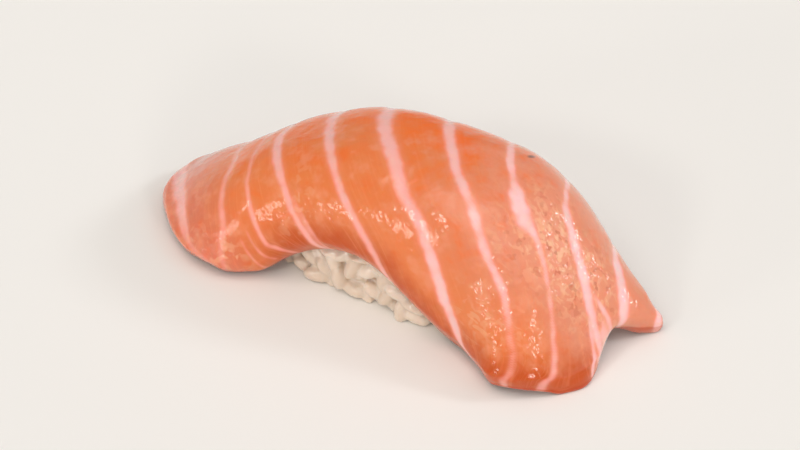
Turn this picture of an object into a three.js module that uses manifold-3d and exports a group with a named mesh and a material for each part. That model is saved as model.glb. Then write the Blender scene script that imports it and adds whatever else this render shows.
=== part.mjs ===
// Salmon nigiri: one slice of raw salmon draped along an oblong pad of pressed rice.
// Millimetres, +Z up. X runs along the pad, -Y is the side where the slice hangs lower,
// and the board that the piece stands on is z = 0.

import * as THREE from "three";
import { mergeVertices } from "three/addons/utils/BufferGeometryUtils.js";
import Module from "manifold-3d";

const wasm = await Module();
wasm.setup();

// ---------------------------------------------------------------- driving dimensions

const GAP = 0.3;                       // air left between the slice and the rice

const PAD = {                          // pressed rice without its outer grains
  length: 49.5,
  width: 26.4,
  height: 22.4,
  centreY: -0.4,
  planSquareness: 2.9,                 // exponent of the outline seen from above
  sideSquareness: 3.4,                 // exponent of the outline seen from the side
  topLevel: 0.999,                     // share of the height where the rounded top closes
  outlinePoints: 48,
  roundSteps: 32,
  heightSteps: 8,
};

const GRAIN = {                        // one cooked grain
  length: 6.6,
  thickness: 2.9,
  lengthSpread: 0.14,
  rowPitch: 2.6,
  alongPitch: 5.1,
  turnSpread: 2.4,                     // radians, in the plane of the skin
  tiltSpread: 0.35,                    // how far a grain's tip leans in or out
  sunk: 0.42,                          // depth of its axis below the pad's skin
  placeJitter: 0.5,                    // share of the spacing along a row
  heightJitter: 0.8,
  clearOfBoard: 0.05,
  topLevel: 0.8,                       // share of the pad's height that the rows reach
  roundSteps: 6,
  lengthSteps: 4,
};

const CREST = {                        // height of the slice's underside along its ridge
  height: 24,
  x: 4,
  left: { reach: 52, power: 2.2, fall: 1.2 },
  right: { reach: 38.2, power: 2.8, fall: 1.15 },
  slant: 0.3,                          // the right end is cut at an angle: reach gained per mm of y
  slantFromY: 6,
};

const ARCH = {                         // cross-section of the drape
  middleSquareness: 4,
  endSquareness: 2.4,
  changeFrom: 8,                       // |x| where the section starts to soften
  changeTo: 36,
  footRounding: 3,                     // softness of the turn onto the board
};

// Where the drape would meet the board on either side, as y over x.
const FRONT_FOOT = [[-52, -12], [-42, -17.1], [-36.5, -20.1], [-31, -20.9], [-25, -18.6], [-18, -16.5],
  [4, -16.2], [17, -15.6], [23, -18.2], [28, -21.6], [34, -22], [40, -19.5], [50, -14]];
const BACK_FOOT = [[-52, 3], [-34, 9], [-18, 13.5], [0, 15.2], [14, 16], [24, 15.5], [38, 11.5], [50, 9]];

// The slice's long edges: where they start and end, and how far the rice lifts them off the board.
// A lift is highest at peakX and dies out over its run on either side; sharpness shapes that slope.
const FRONT_EDGE = {
  startX: -31, endX: 28, lift: 10.5, peakX: -5,
  left: { run: 18, roundness: 2, sharpness: 1 },
  right: { run: 24, roundness: 2, sharpness: 2 },
};
const BACK_EDGE = {
  startX: -46.5, endX: 43.4, startY: 1.5, endY: 7, lift: 14, peakX: 0,
  left: { run: 34, roundness: 2.5, sharpness: 1 },
  right: { run: 30, roundness: 2.5, sharpness: 1 },
  cornerBlend: 0.35,                   // share of the length over which it runs into a back corner
};

// The two cut ends seen from above, from the front corner to the back corner.
const LEFT_END = [[-31, -20.6], [-36.4, -19.9], [-42, -16.6], [-47, -12], [-48.6, -7], [-48, -3], [-46.5, 1.5]];
const RIGHT_END = [[28, -21.4], [33, -19.8], [36.6, -16.8], [38.5, -12.8], [38.8, -9], [37.3, -4.6], [37.8, -1],
  [39.4, 2.4], [41.4, 4.8], [43.4, 7]];
const END_REACH = 3;                   // how quickly an end's shape fades along the slice

const SLICE = {
  middleThickness: 4,
  endThickness: 3,
  frontThinning: 0.65,                 // share of the thickness lost at the front edge over the rice
  frontThinningReach: 0.1,
  backThinning: 0.3,
  backThinningReach: 0.08,
  endRun: 0.3,
  lengthSteps: 48,
  widthSteps: 22,
  rowDetail: 80,                       // points from which one row across is evened out
  normalSpan: 2.2,                     // distance over which the surface's slope is taken
};

const LOOKS = {
  salmon: { color: 0xe98258, roughness: 0.35 },
  rice: { color: 0xe9dccb, roughness: 0.6 },
};

// ---------------------------------------------------------------- small helpers

const seededRandom = (seed) => {
  let state = seed;
  return () => {
    state = (state * 1664525 + 1013904223) % 4294967296;
    return state / 4294967296;
  };
};

const signedPower = (value, power) => Math.sign(value) * Math.abs(value) ** power;

/** Smooth curve y(x) through points that are sorted by x. */
function throughPoints(points, x) {
  const last = points.length - 1;
  const inside = Math.min(Math.max(x, points[0][0]), points[last][0]);
  const found = points.findIndex((point) => point[0] > inside);
  const i = found < 0 ? last - 1 : found - 1;
  const slope = (k) => {
    const before = points[Math.max(k - 1, 0)];
    const after = points[Math.min(k + 1, last)];
    return (after[1] - before[1]) / (after[0] - before[0]);
  };
  const span = points[i + 1][0] - points[i][0];
  const u = (inside - points[i][0]) / span;
  return points[i][1] * (2 * u ** 3 - 3 * u ** 2 + 1) + slope(i) * span * (u ** 3 - 2 * u ** 2 + u)
    + points[i + 1][1] * (3 * u ** 2 - 2 * u ** 3) + slope(i + 1) * span * (u ** 3 - u ** 2);
}

/** Solid for joining and cutting, made from a closed geometry. */
function toSolid(geometry) {
  const bare = geometry.clone();
  bare.deleteAttribute("normal");
  bare.deleteAttribute("uv");
  const merged = mergeVertices(bare, 1e-4);
  return new wasm.Manifold(new wasm.Mesh({
    numProp: 3,
    vertProperties: new Float32Array(merged.attributes.position.array),
    triVerts: new Uint32Array(merged.index.array),
  }));
}

/** Geometry of a solid after joining and cutting. */
function toGeometry(solid) {
  const mesh = solid.getMesh();
  const geometry = new THREE.BufferGeometry();
  geometry.setAttribute("position", new THREE.BufferAttribute(new Float32Array(mesh.vertProperties), 3));
  geometry.setIndex(new THREE.BufferAttribute(new Uint32Array(mesh.triVerts), 1));
  geometry.computeVertexNormals();
  return geometry;
}

// ---------------------------------------------------------------- the drape

/** Section of the drape at x: crest height, middle and half width, and squareness. */
function sectionAt(x, y) {
  const side = x < CREST.x ? CREST.left : CREST.right;
  const slant = x < CREST.x ? 0 : CREST.slant * (y - CREST.slantFromY);
  const base = 1 - Math.abs((x - CREST.x) / (side.reach + slant)) ** side.power;
  const front = throughPoints(FRONT_FOOT, x);
  const back = throughPoints(BACK_FOOT, x);
  const softening = THREE.MathUtils.smoothstep(Math.abs(x), ARCH.changeFrom, ARCH.changeTo);
  return {
    crest: base > 0 ? CREST.height * base ** side.fall : CREST.height * base,
    middle: (front + back) / 2,
    half: (back - front) / 2,
    squareness: THREE.MathUtils.lerp(ARCH.middleSquareness, ARCH.endSquareness, softening),
  };
}

/** Height of the slice's underside over the board. */
function undersideHeight(x, y) {
  const section = sectionAt(x, y);
  const across = Math.abs((y - section.middle) / section.half) ** section.squareness;
  const arch = section.crest < 0 ? section.crest : section.crest * (1 - across);
  const nearFoot = Math.max(ARCH.footRounding - Math.abs(arch), 0) / ARCH.footRounding;
  return Math.max(arch, 0) + nearFoot ** 2 * ARCH.footRounding / 4;
}

/** Direction square to the drape at a point of the plan. */
function drapeNormal(x, y) {
  const span = SLICE.normalSpan;
  const slopeX = (undersideHeight(x + span, y) - undersideHeight(x - span, y)) / (2 * span);
  const slopeY = (undersideHeight(x, y + span) - undersideHeight(x, y - span)) / (2 * span);
  return new THREE.Vector3(-slopeX, -slopeY, 1).normalize();
}

/** y where the drape's section at x has the given height, on the front (-1) or back (+1) side. */
function yAtHeight(x, height, side) {
  const section = sectionAt(x, side * PAD.width / 2);
  const share = THREE.MathUtils.clamp(1 - height / Math.max(section.crest, 0.001), 0, 1);
  return section.middle + side * section.half * share ** (1 / section.squareness);
}

/** Height of a long edge over the board at x. */
function edgeHeight(edge, x) {
  const side = x < edge.peakX ? edge.left : edge.right;
  const away = Math.abs(x - edge.peakX) / side.run;
  return edge.lift * Math.max(1 - away ** side.roundness, 0) ** side.sharpness;
}

/** Front edge of the slice: on the board at both ends, lifted by the rice between them. */
function frontEdge(s) {
  const x = THREE.MathUtils.lerp(FRONT_EDGE.startX, FRONT_EDGE.endX, s);
  return new THREE.Vector2(x, yAtHeight(x, edgeHeight(FRONT_EDGE, x), -1));
}

/** Back edge of the slice, which runs into the back corners of the two ends. */
function backEdge(s) {
  const x = THREE.MathUtils.lerp(BACK_EDGE.startX, BACK_EDGE.endX, s);
  const free = yAtHeight(x, edgeHeight(BACK_EDGE, x), 1);
  const leftShare = 1 - THREE.MathUtils.smoothstep(s, 0, BACK_EDGE.cornerBlend);
  const rightShare = 1 - THREE.MathUtils.smoothstep(1 - s, 0, BACK_EDGE.cornerBlend);
  const y = free * (1 - leftShare - rightShare) + BACK_EDGE.startY * leftShare + BACK_EDGE.endY * rightShare;
  return new THREE.Vector2(x, y);
}

const planCurve = (points) => new THREE.SplineCurve(points.map(([x, y]) => new THREE.Vector2(x, y)));
const leftEnd = planCurve(LEFT_END);
const rightEnd = planCurve(RIGHT_END);

/** Plan position of the slice's point at s along it and t across it, both 0 to 1. */
function planPoint(s, t) {
  const point = frontEdge(s).lerp(backEdge(s), t);
  const bend = (curve, weight) => {
    const chord = curve.getPointAt(0).lerp(curve.getPointAt(1), t);
    point.addScaledVector(curve.getPointAt(t).sub(chord), weight);
  };
  bend(leftEnd, (1 - s) ** END_REACH);
  bend(rightEnd, s ** END_REACH);
  return point;
}

// ---------------------------------------------------------------- the salmon

/** Thickness of the slice: thin along the lifted front edge, a little thinner at the back and ends. */
function thicknessAt(s, t) {
  const middle = THREE.MathUtils.smoothstep(s, 0, SLICE.endRun) * THREE.MathUtils.smoothstep(1 - s, 0, SLICE.endRun);
  const body = THREE.MathUtils.lerp(SLICE.endThickness, SLICE.middleThickness, middle);
  const front = 1 - middle * SLICE.frontThinning * Math.exp(-t / SLICE.frontThinningReach);
  const back = 1 - SLICE.backThinning * Math.exp((t - 1) / SLICE.backThinningReach);
  return body * front * back;
}

/** Evenly spaced points of the underside across the slice at s. */
function undersideRow(s) {
  const points = Array.from({ length: SLICE.rowDetail + 1 }, (_, k) => {
    const plan = planPoint(s, k / SLICE.rowDetail);
    return new THREE.Vector3(plan.x, plan.y, undersideHeight(plan.x, plan.y));
  });
  return new THREE.CatmullRomCurve3(points).getSpacedPoints(SLICE.widthSteps);
}

/** Splits each four-sided cell along its shorter diagonal, so that slanted cells stay smooth. */
function splitShorterWay(geometry) {
  const { position } = geometry.attributes;
  const corner = (k) => new THREE.Vector3().fromBufferAttribute(position, k);
  const index = geometry.index.array;
  for (let k = 0; k < index.length; k += 6) {
    const [a, b, d, , c] = index.slice(k, k + 6);
    if (corner(a).distanceTo(corner(c)) < corner(b).distanceTo(corner(d))) {
      index.set([a, b, c, a, c, d], k);
    }
  }
}

/** The slice: a box of many cells, laid over the drape and given its thickness along the normal. */
function sliceGeometry() {
  const box = new THREE.BoxGeometry(1, 1, 1, SLICE.lengthSteps, SLICE.widthSteps, 1);
  box.deleteAttribute("normal");
  box.deleteAttribute("uv");
  const geometry = mergeVertices(box, 1e-4);
  const rows = Array.from({ length: SLICE.lengthSteps + 1 }, (_, i) => undersideRow(i / SLICE.lengthSteps));
  const position = geometry.attributes.position;
  for (let k = 0; k < position.count; k += 1) {
    const s = position.getX(k) + 0.5;
    const t = position.getY(k) + 0.5;
    const point = rows[Math.round(s * SLICE.lengthSteps)][Math.round(t * SLICE.widthSteps)].clone();
    if (position.getZ(k) > 0) {
      point.addScaledVector(drapeNormal(point.x, point.y), thicknessAt(s, t));
    }
    position.setXYZ(k, point.x, point.y, point.z);
  }
  splitShorterWay(geometry);
  geometry.computeVertexNormals();
  return geometry;
}

/** The slice with every face moved outward by the gap, for keeping the rice clear of it. */
function grownSliceSolid(geometry) {
  const grown = geometry.clone();
  const { position, normal } = grown.attributes;
  for (let k = 0; k < position.count; k += 1) {
    position.setXYZ(
      k,
      position.getX(k) + GAP * normal.getX(k),
      position.getY(k) + GAP * normal.getY(k),
      position.getZ(k) + GAP * normal.getZ(k),
    );
  }
  return toSolid(grown);
}

// ---------------------------------------------------------------- the rice

/** The pad's outline on the board, a rounded oblong. */
const padOutline = new THREE.CatmullRomCurve3(Array.from({ length: PAD.outlinePoints }, (_, k) => {
  const angle = 2 * Math.PI * k / PAD.outlinePoints;
  return new THREE.Vector3(
    PAD.length / 2 * signedPower(Math.cos(angle), 2 / PAD.planSquareness),
    PAD.width / 2 * signedPower(Math.sin(angle), 2 / PAD.planSquareness),
    0,
  );
}), true);

/** Point of the pad's skin at a share of the way round it and a height from 0 (board) to 1 (top). */
function padPoint(around, level) {
  const shrink = (1 - level ** PAD.sideSquareness) ** (1 / PAD.sideSquareness);
  const point = padOutline.getPointAt(THREE.MathUtils.euclideanModulo(around, 1)).multiplyScalar(shrink);
  return point.add(new THREE.Vector3(0, PAD.centreY, PAD.height * level));
}

/** The pad: a flat-bottomed, soft-cornered loaf, held just under the slice. */
function padSolid() {
  const geometry = new THREE.CylinderGeometry(1, 1, 1, PAD.roundSteps, PAD.heightSteps);
  const position = geometry.attributes.position;
  for (let k = 0; k < position.count; k += 1) {
    const onAxis = Math.hypot(position.getX(k), position.getZ(k)) < 0.5;
    const around = Math.atan2(-position.getZ(k), position.getX(k)) / (2 * Math.PI);
    const level = Math.sin((position.getY(k) + 0.5) * Math.PI / 2);
    const point = padPoint(around, Math.min(level, PAD.topLevel));
    if (onAxis) {
      point.set(0, PAD.centreY, point.z);
    }
    position.setXYZ(k, point.x, point.y, Math.min(point.z, undersideHeight(point.x, point.y) - GAP));
  }
  return toSolid(geometry);
}

/** Directions along the pad's skin and straight out of it. */
function skinDirections(around, level) {
  const small = 0.005;
  const along = padPoint(around + small, level).sub(padPoint(around - small, level)).normalize();
  const upward = padPoint(around, level + small).sub(padPoint(around, level - small)).normalize();
  return { along, outward: along.clone().cross(upward).normalize() };
}

/** One cooked grain, lying on the pad's skin at a place round it and a height, in a random direction. */
function grainSolid(around, height, random) {
  const level = height / PAD.height;
  const centre = padPoint(around, level);
  const { along, outward } = skinDirections(around, level);
  const direction = along.clone().applyAxisAngle(outward, (random() - 0.5) * GRAIN.turnSpread);
  direction.addScaledVector(outward, (random() - 0.5) * GRAIN.tiltSpread);
  const length = GRAIN.length * (1 + (random() - 0.5) * 2 * GRAIN.lengthSpread);
  const geometry = new THREE.SphereGeometry(1, GRAIN.roundSteps, GRAIN.lengthSteps);
  geometry.scale(GRAIN.thickness / 2, length / 2, GRAIN.thickness / 2);
  const turned = new THREE.Quaternion().setFromUnitVectors(new THREE.Vector3(0, 1, 0), direction.normalize());
  geometry.applyQuaternion(turned);
  geometry.computeBoundingBox();
  centre.addScaledVector(outward, -GRAIN.sunk);
  centre.z = Math.max(centre.z, GRAIN.clearOfBoard - geometry.boundingBox.min.z);
  geometry.translate(centre.x, centre.y, centre.z);
  return toSolid(geometry);
}

/** The rice: the pad with grains all round its sides, each left out where it would reach the slice. */
function riceGeometry(grownSlice) {
  const random = seededRandom(7);
  let rice = padSolid();
  const perRow = Math.round(padOutline.getLength() / GRAIN.alongPitch);
  for (let row = GRAIN.thickness / 2; row < PAD.height * GRAIN.topLevel; row += GRAIN.rowPitch) {
    const shift = random();
    for (let k = 0; k < perRow; k += 1) {
      const around = (k + shift + GRAIN.placeJitter * (random() - 0.5)) / perRow;
      const height = row + GRAIN.heightJitter * (random() - 0.5);
      const grain = grainSolid(around, height, random);
      if (grain.intersect(grownSlice).isEmpty()) {
        rice = rice.add(grain);
      }
    }
  }
  return toGeometry(rice.subtract(grownSlice));
}

// ---------------------------------------------------------------- the whole piece

/** One named piece of food in its own material. */
function foodMesh(name, geometry, { color, roughness }) {
  const mesh = new THREE.Mesh(geometry, new THREE.MeshStandardMaterial({ color, roughness, metalness: 0 }));
  mesh.name = name;
  return mesh;
}

/** Rice and slice together, with the origin under the middle of the whole piece. */
function buildNigiri() {
  const slice = sliceGeometry();
  const salmon = foodMesh("salmon", slice, LOOKS.salmon);
  const rice = foodMesh("rice", riceGeometry(grownSliceSolid(slice)), LOOKS.rice);
  const nigiri = new THREE.Group();
  nigiri.add(salmon, rice);
  const box = new THREE.Box3().setFromObject(nigiri);
  const middle = box.getCenter(new THREE.Vector3());
  nigiri.position.set(-middle.x, -middle.y, -box.min.z);
  nigiri.updateMatrixWorld(true);
  return nigiri;
}

export default buildNigiri();
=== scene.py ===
"""Salmon nigiri: a slice of raw salmon draped over a pad of pressed, cooked rice.

Pieces are shaped in millimetres, in a frame whose origin is under the middle of the rice and in which
the slice runs along X and hangs lower on its front, the -Y side. They are moved onto the frame's own
origin and turned into metres as they enter their meshes.
"""

import logging
import math
from collections.abc import Callable
from dataclasses import dataclass, field
from enum import Enum

import bpy
import numpy as np
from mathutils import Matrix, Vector


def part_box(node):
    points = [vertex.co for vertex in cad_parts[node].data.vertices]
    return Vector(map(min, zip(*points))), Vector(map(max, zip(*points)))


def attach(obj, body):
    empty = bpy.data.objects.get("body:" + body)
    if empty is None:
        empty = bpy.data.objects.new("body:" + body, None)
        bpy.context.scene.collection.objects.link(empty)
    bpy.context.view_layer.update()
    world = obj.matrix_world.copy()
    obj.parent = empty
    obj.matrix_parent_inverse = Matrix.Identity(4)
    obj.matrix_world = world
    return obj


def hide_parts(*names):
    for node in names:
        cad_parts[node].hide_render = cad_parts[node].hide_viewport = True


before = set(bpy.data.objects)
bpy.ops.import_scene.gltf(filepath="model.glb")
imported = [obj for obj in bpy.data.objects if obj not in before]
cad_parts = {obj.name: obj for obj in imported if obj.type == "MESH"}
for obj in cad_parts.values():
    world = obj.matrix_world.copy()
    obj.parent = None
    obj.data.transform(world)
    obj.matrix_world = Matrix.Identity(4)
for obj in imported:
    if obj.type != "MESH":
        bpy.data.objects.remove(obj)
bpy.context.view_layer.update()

LOG = logging.getLogger("nigiri")
MM = 0.001
TINY = 1e-9
CURVE_SAMPLES = 1601     # points from which the running length of a curve is found
DENSITY_SAMPLES = 4001   # points from which the running total of a density is found

Curve = tuple[tuple[float, float], ...]
Surface = Callable[[np.ndarray, np.ndarray], np.ndarray]
Feed = bpy.types.NodeSocket | bpy.types.Node


class Side(Enum):
    """The slice's two long sides, with the sign of y on each."""

    FRONT = -1
    BACK = 1


class RiceLayer(Enum):
    """Where a grain lies in the pad."""

    SKIN = "skin"
    UNDER_SKIN = "under_skin"
    FOOT = "foot"


# ---------------------------------------------------------------- curves and noise


def smoothstep(x: np.ndarray, low: float, high: float) -> np.ndarray:
    """Rises from 0 at low to 1 at high as 3u^2 - 2u^3, level at both ends.

    Args:
        x: Where to read it.
        low: Where it leaves 0.
        high: Where it reaches 1.

    Returns:
        The height at each x.
    """
    u = np.clip((x - low) / (high - low), 0.0, 1.0)
    return u * u * (3 - 2 * u)


def through_points(points: Curve, x: np.ndarray) -> np.ndarray:
    """Smooth y(x): between two points a cubic, whose slope at a point is that between its neighbours.

    Args:
        points: (x, y) pairs, sorted by x.
        x: Where to read the curve; it is held level outside the points.

    Returns:
        y at each x.
    """
    px, py = np.asarray(points, float).T
    slope = np.empty(len(px))
    slope[1:-1] = (py[2:] - py[:-2]) / (px[2:] - px[:-2])
    slope[0] = (py[1] - py[0]) / (px[1] - px[0])
    slope[-1] = (py[-1] - py[-2]) / (px[-1] - px[-2])
    inside = np.clip(x, px[0], px[-1])
    i = np.clip(np.searchsorted(px, inside, side="right") - 1, 0, len(px) - 2)
    span = px[i + 1] - px[i]
    u = (inside - px[i]) / span
    return (py[i] * (2 * u**3 - 3 * u**2 + 1) + slope[i] * span * (u**3 - 2 * u**2 + u)
            + py[i + 1] * (3 * u**2 - 2 * u**3) + slope[i + 1] * span * (u**3 - u**2))


def spline(points: np.ndarray, share: np.ndarray) -> np.ndarray:
    """Catmull-Rom curve through points, read at shares of its own length.

    The curve is sampled densely, its running length is found, and the parameter is read back from it.

    Args:
        points: (n, d) points in order.
        share: Shares of the length, 0 to 1.

    Returns:
        An array shaped like share, with d coordinates added.
    """
    p = np.asarray(points, float)
    last = len(p) - 1

    def raw(u: np.ndarray) -> np.ndarray:
        """Point of the curve at parameter u, 0 to 1, as the usual blend of the four nearest points."""
        x = np.clip(u * last, 0, last - TINY)
        i = x.astype(int)
        f = (x - i)[..., None]
        a, b, c, d = (p[np.clip(i + k, 0, last)] for k in (-1, 0, 1, 2))
        return 0.5 * (2 * b + (c - a) * f + (2 * a - 5 * b + 4 * c - d) * f**2
                      + (3 * b - a - 3 * c + d) * f**3)

    u = np.linspace(0, 1, CURVE_SAMPLES)
    step = np.linalg.norm(np.diff(raw(u), axis=0), axis=1)
    run = np.concatenate([[0], np.cumsum(step)])
    return raw(np.interp(share, run / run[-1], u))


def crowded(count: int, near: float, gain: float) -> np.ndarray:
    """Shares from 0 to 1 that lie closer together at both ends.

    Their density is 1 + gain * exp(-distance to the nearer end / near). The shares come from reading
    that density's running total backwards.

    Args:
        count: Number of steps.
        near: How far the crowding reaches, as a share.
        gain: How much denser the ends are.

    Returns:
        count + 1 rising shares.
    """
    x = np.linspace(0, 1, DENSITY_SAMPLES)
    density = 1 + gain * np.exp(-np.minimum(x, 1 - x) / near)
    total = np.concatenate([[0], np.cumsum((density[1:] + density[:-1]) / 2)])
    return np.interp(np.linspace(0, 1, count + 1), total / total[-1], x)


@dataclass(frozen=True)
class Noise:
    """Smooth noise in space, about -height to height.

    Random values sit on a repeating lattice of the given cell, and each place blends the eight round it
    with smoothstep weights. The seed picks the pattern.
    """

    height: float
    cell: float
    seed: int
    lattice: int = 32
    shift: float = 1000.0

    def at(self, points: np.ndarray) -> np.ndarray:
        """Reads the noise.

        Args:
            points: (..., 3) places, in the unit of the cell.

        Returns:
            One value a place.
        """
        values = np.random.default_rng(self.seed).uniform(-1, 1, (self.lattice,) * 3)
        q = np.asarray(points, float) / self.cell + self.shift
        low = np.floor(q).astype(int)
        share = smoothstep(q - low, 0, 1)
        total = np.zeros(q.shape[:-1])
        for corner in np.ndindex(2, 2, 2):
            pick = np.array(corner[::-1])
            weight = np.prod(np.where(pick, share, 1 - share), axis=-1)
            x, y, z = np.moveaxis((low + pick) % self.lattice, -1, 0)
            total += weight * values[x, y, z]
        return self.height * total


# ---------------------------------------------------------------- mesh and node helpers


def grid_faces(rows: int, columns: int, start: int = 0, flip: bool = False) -> np.ndarray:
    """Quads of a grid of rows x columns points, numbered row by row from start.

    Args:
        rows: Number of point rows.
        columns: Number of points in a row.
        start: Number of the first point.
        flip: Turns the faces over.

    Returns:
        (n, 4) vertex numbers.
    """
    index = start + np.arange(rows * columns).reshape(rows, columns)
    quads = np.stack([index[:-1, :-1], index[1:, :-1], index[1:, 1:], index[:-1, 1:]], -1).reshape(-1, 4)
    return quads[:, ::-1] if flip else quads


def closed_tube(rings: int, sides: int) -> tuple[np.ndarray, np.ndarray]:
    """Faces of a tube of rings, numbered ring by ring, whose ends are closed with fans to two last points.

    Args:
        rings: Number of rings.
        sides: Number of points in a ring.

    Returns:
        (n, 4) quads and (m, 3) triangles, which face outwards where the rings run anticlockwise as seen
        from the last one.
    """
    index = np.arange(rings * sides).reshape(rings, sides)
    turned = np.roll(index, -1, axis=1)
    quads = np.stack([index[:-1], turned[:-1], turned[1:], index[1:]], -1).reshape(-1, 4)
    first, last = rings * sides, rings * sides + 1
    fans = np.concatenate([
        np.stack([turned[0], index[0], np.full(sides, first)], -1),
        np.stack([index[-1], turned[-1], np.full(sides, last)], -1)])
    return quads, fans


def soften(values: np.ndarray) -> np.ndarray:
    """Blurs a grid of values: twice along each axis, every value but the outermost becomes half of itself
    and a quarter of each neighbour.

    Args:
        values: (n, m) values.

    Returns:
        The blurred values, in the same shape.
    """
    for axis in (0, 1, 0, 1):
        lines = np.moveaxis(values, axis, 0)
        inner = (lines[:-2] + 2 * lines[1:-1] + lines[2:]) / 4
        values = np.moveaxis(np.concatenate([lines[:1], inner, lines[-1:]]), 0, axis)
    return values


def read_grid(values: np.ndarray, rows: np.ndarray, columns: np.ndarray, s: np.ndarray,
              t: np.ndarray) -> np.ndarray:
    """Reads a grid of points between its nodes, as the bilinear blend of the four round each place.

    Args:
        values: (n, m, 3) points.
        rows: (n,) rising values of s on the grid.
        columns: (m,) rising values of t on the grid.
        s: Where to read it.
        t: Where to read it, shaped like s.

    Returns:
        Points, shaped like s with a last axis of 3.
    """
    i = np.clip(np.searchsorted(rows, s, side="right") - 1, 0, len(rows) - 2)
    j = np.clip(np.searchsorted(columns, t, side="right") - 1, 0, len(columns) - 2)
    u = ((s - rows[i]) / (rows[i + 1] - rows[i]))[..., None]
    v = ((t - columns[j]) / (columns[j + 1] - columns[j]))[..., None]
    return ((values[i, j] * (1 - u) + values[i + 1, j] * u) * (1 - v)
            + (values[i, j + 1] * (1 - u) + values[i + 1, j + 1] * u) * v)


def mesh_object(name: str, points_mm: np.ndarray, quads: np.ndarray, origin_mm: np.ndarray,
                attributes: dict[str, np.ndarray], triangles: np.ndarray | None = None) -> bpy.types.Object:
    """Makes a smooth-shaded object from points in millimetres.

    Args:
        name: The object's name.
        points_mm: (n, 3) points in the shaping frame.
        quads: (m, 4) vertex numbers.
        origin_mm: Added to each point, to bring it into the frame of the CAD model.
        attributes: One number a point for each named attribute.
        triangles: (k, 3) vertex numbers of extra three-sided faces.

    Returns:
        The linked object, at the origin and unscaled.
    """
    mesh = bpy.data.meshes.new(name)
    faces = quads.tolist() + ([] if triangles is None else triangles.tolist())
    mesh.from_pydata(((points_mm + origin_mm) * MM).tolist(), [], faces)
    for key, values in attributes.items():
        layer = mesh.attributes.new(key, "FLOAT", "POINT")
        layer.data.foreach_set("value", np.asarray(values, np.float32).ravel())
    mesh.shade_smooth()
    mesh.update()
    piece = bpy.data.objects.new(name, mesh)
    bpy.context.scene.collection.objects.link(piece)
    return piece


def largest_shell(points: np.ndarray, faces: np.ndarray) -> tuple[np.ndarray, np.ndarray]:
    """Keeps the largest connected part of a mesh, without loose crumbs.

    Every point starts with its own number. The smaller number of an edge's two ends spreads to both, and
    each point then takes the number of the point that its number names, until nothing changes.

    Args:
        points: (n, 3) points.
        faces: (m, 4) vertex numbers.

    Returns:
        The points and faces that stay, numbered anew.
    """
    edges = np.concatenate([faces, np.roll(faces, 1, axis=1)], axis=0).reshape(2, -1).T
    label, before = np.arange(len(points)), None
    while before is None or (label != before).any():
        before = label.copy()
        low = label[edges].min(axis=1)
        np.minimum.at(label, edges[:, 0], low)
        np.minimum.at(label, edges[:, 1], low)
        label = label[label]
    stays = label == np.bincount(label).argmax()
    return points[stays], (np.cumsum(stays) - 1)[faces[stays[faces[:, 0]]]]


def linear(hex_colour: str) -> tuple[float, float, float, float]:
    """Turns an sRGB hex colour such as "#f08040" into a linear one with alpha 1."""
    parts = np.array([int(hex_colour[k:k + 2], 16) for k in (1, 3, 5)]) / 255
    r, g, b = np.where(parts <= 0.04045, parts / 12.92, ((parts + 0.055) / 1.055) ** 2.4)
    return float(r), float(g), float(b), 1.0


def add_node(tree: bpy.types.NodeTree, kind: str, inputs: dict[str | int, object] | None = None,
             **settings: object) -> bpy.types.Node:
    """Adds a node with its settings and links.

    Args:
        tree: The material's tree.
        kind: Blender's name for the node type.
        inputs: For each input, by name or number, a constant, the socket that feeds it, or a node whose
            first live output feeds it.
        settings: The node's own properties.

    Returns:
        The node.
    """
    node = tree.nodes.new(kind)
    for key, value in settings.items():
        setattr(node, key, value)
    for key, value in (inputs or {}).items():
        if isinstance(value, bpy.types.Node):
            value = next(output for output in value.outputs if output.enabled)
        if isinstance(value, bpy.types.NodeSocket):
            tree.links.new(value, node.inputs[key])
        else:
            node.inputs[key].default_value = value
    return node


def new_material(name: str) -> tuple[bpy.types.Material, bpy.types.NodeTree]:
    """Makes an empty node material and returns it with its tree."""
    material = bpy.data.materials.new(name)
    material.use_nodes = True
    material.node_tree.nodes.clear()
    return material, material.node_tree


@dataclass(frozen=True)
class ColourLayer:
    """A colour laid over those below it. Its share rises smoothly from 0 to most as value goes from low to
    high, times the mask.
    """

    colour: str
    value: Feed
    low: float
    high: float
    most: float = 1.0
    mask: Feed | None = None


def lay_colours(tree: bpy.types.NodeTree, ground: str,
                layers: tuple[ColourLayer, ...]) -> bpy.types.Node:
    """Lays colours over a ground in turn.

    Args:
        tree: The material's tree.
        ground: sRGB hex colour under all the layers.
        layers: The layers, lowest first.

    Returns:
        The node that gives the finished colour.
    """
    colour = linear(ground)
    for layer in layers:
        share = add_node(tree, "ShaderNodeMapRange", {
            "Value": layer.value, "From Min": layer.low, "From Max": layer.high, "To Max": layer.most,
        }, interpolation_type="SMOOTHSTEP")
        if layer.mask is not None:
            share = add_node(tree, "ShaderNodeMath", {0: share, 1: layer.mask}, operation="MULTIPLY")
        colour = add_node(tree, "ShaderNodeMix", {"Factor": share, 6: colour, 7: linear(layer.colour)},
                          data_type="RGBA")
    return colour


# ---------------------------------------------------------------- the drape


@dataclass(frozen=True)
class RidgeEnd:
    """How the ridge falls towards one end: 1 - (distance / reach) ^ power, all to the power fall."""

    reach: float
    power: float
    fall: float


@dataclass(frozen=True)
class EdgeRun:
    """How an edge's lift dies out to one side of its peak: over which run, and with what shape."""

    run: float
    roundness: float
    sharpness: float


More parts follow.
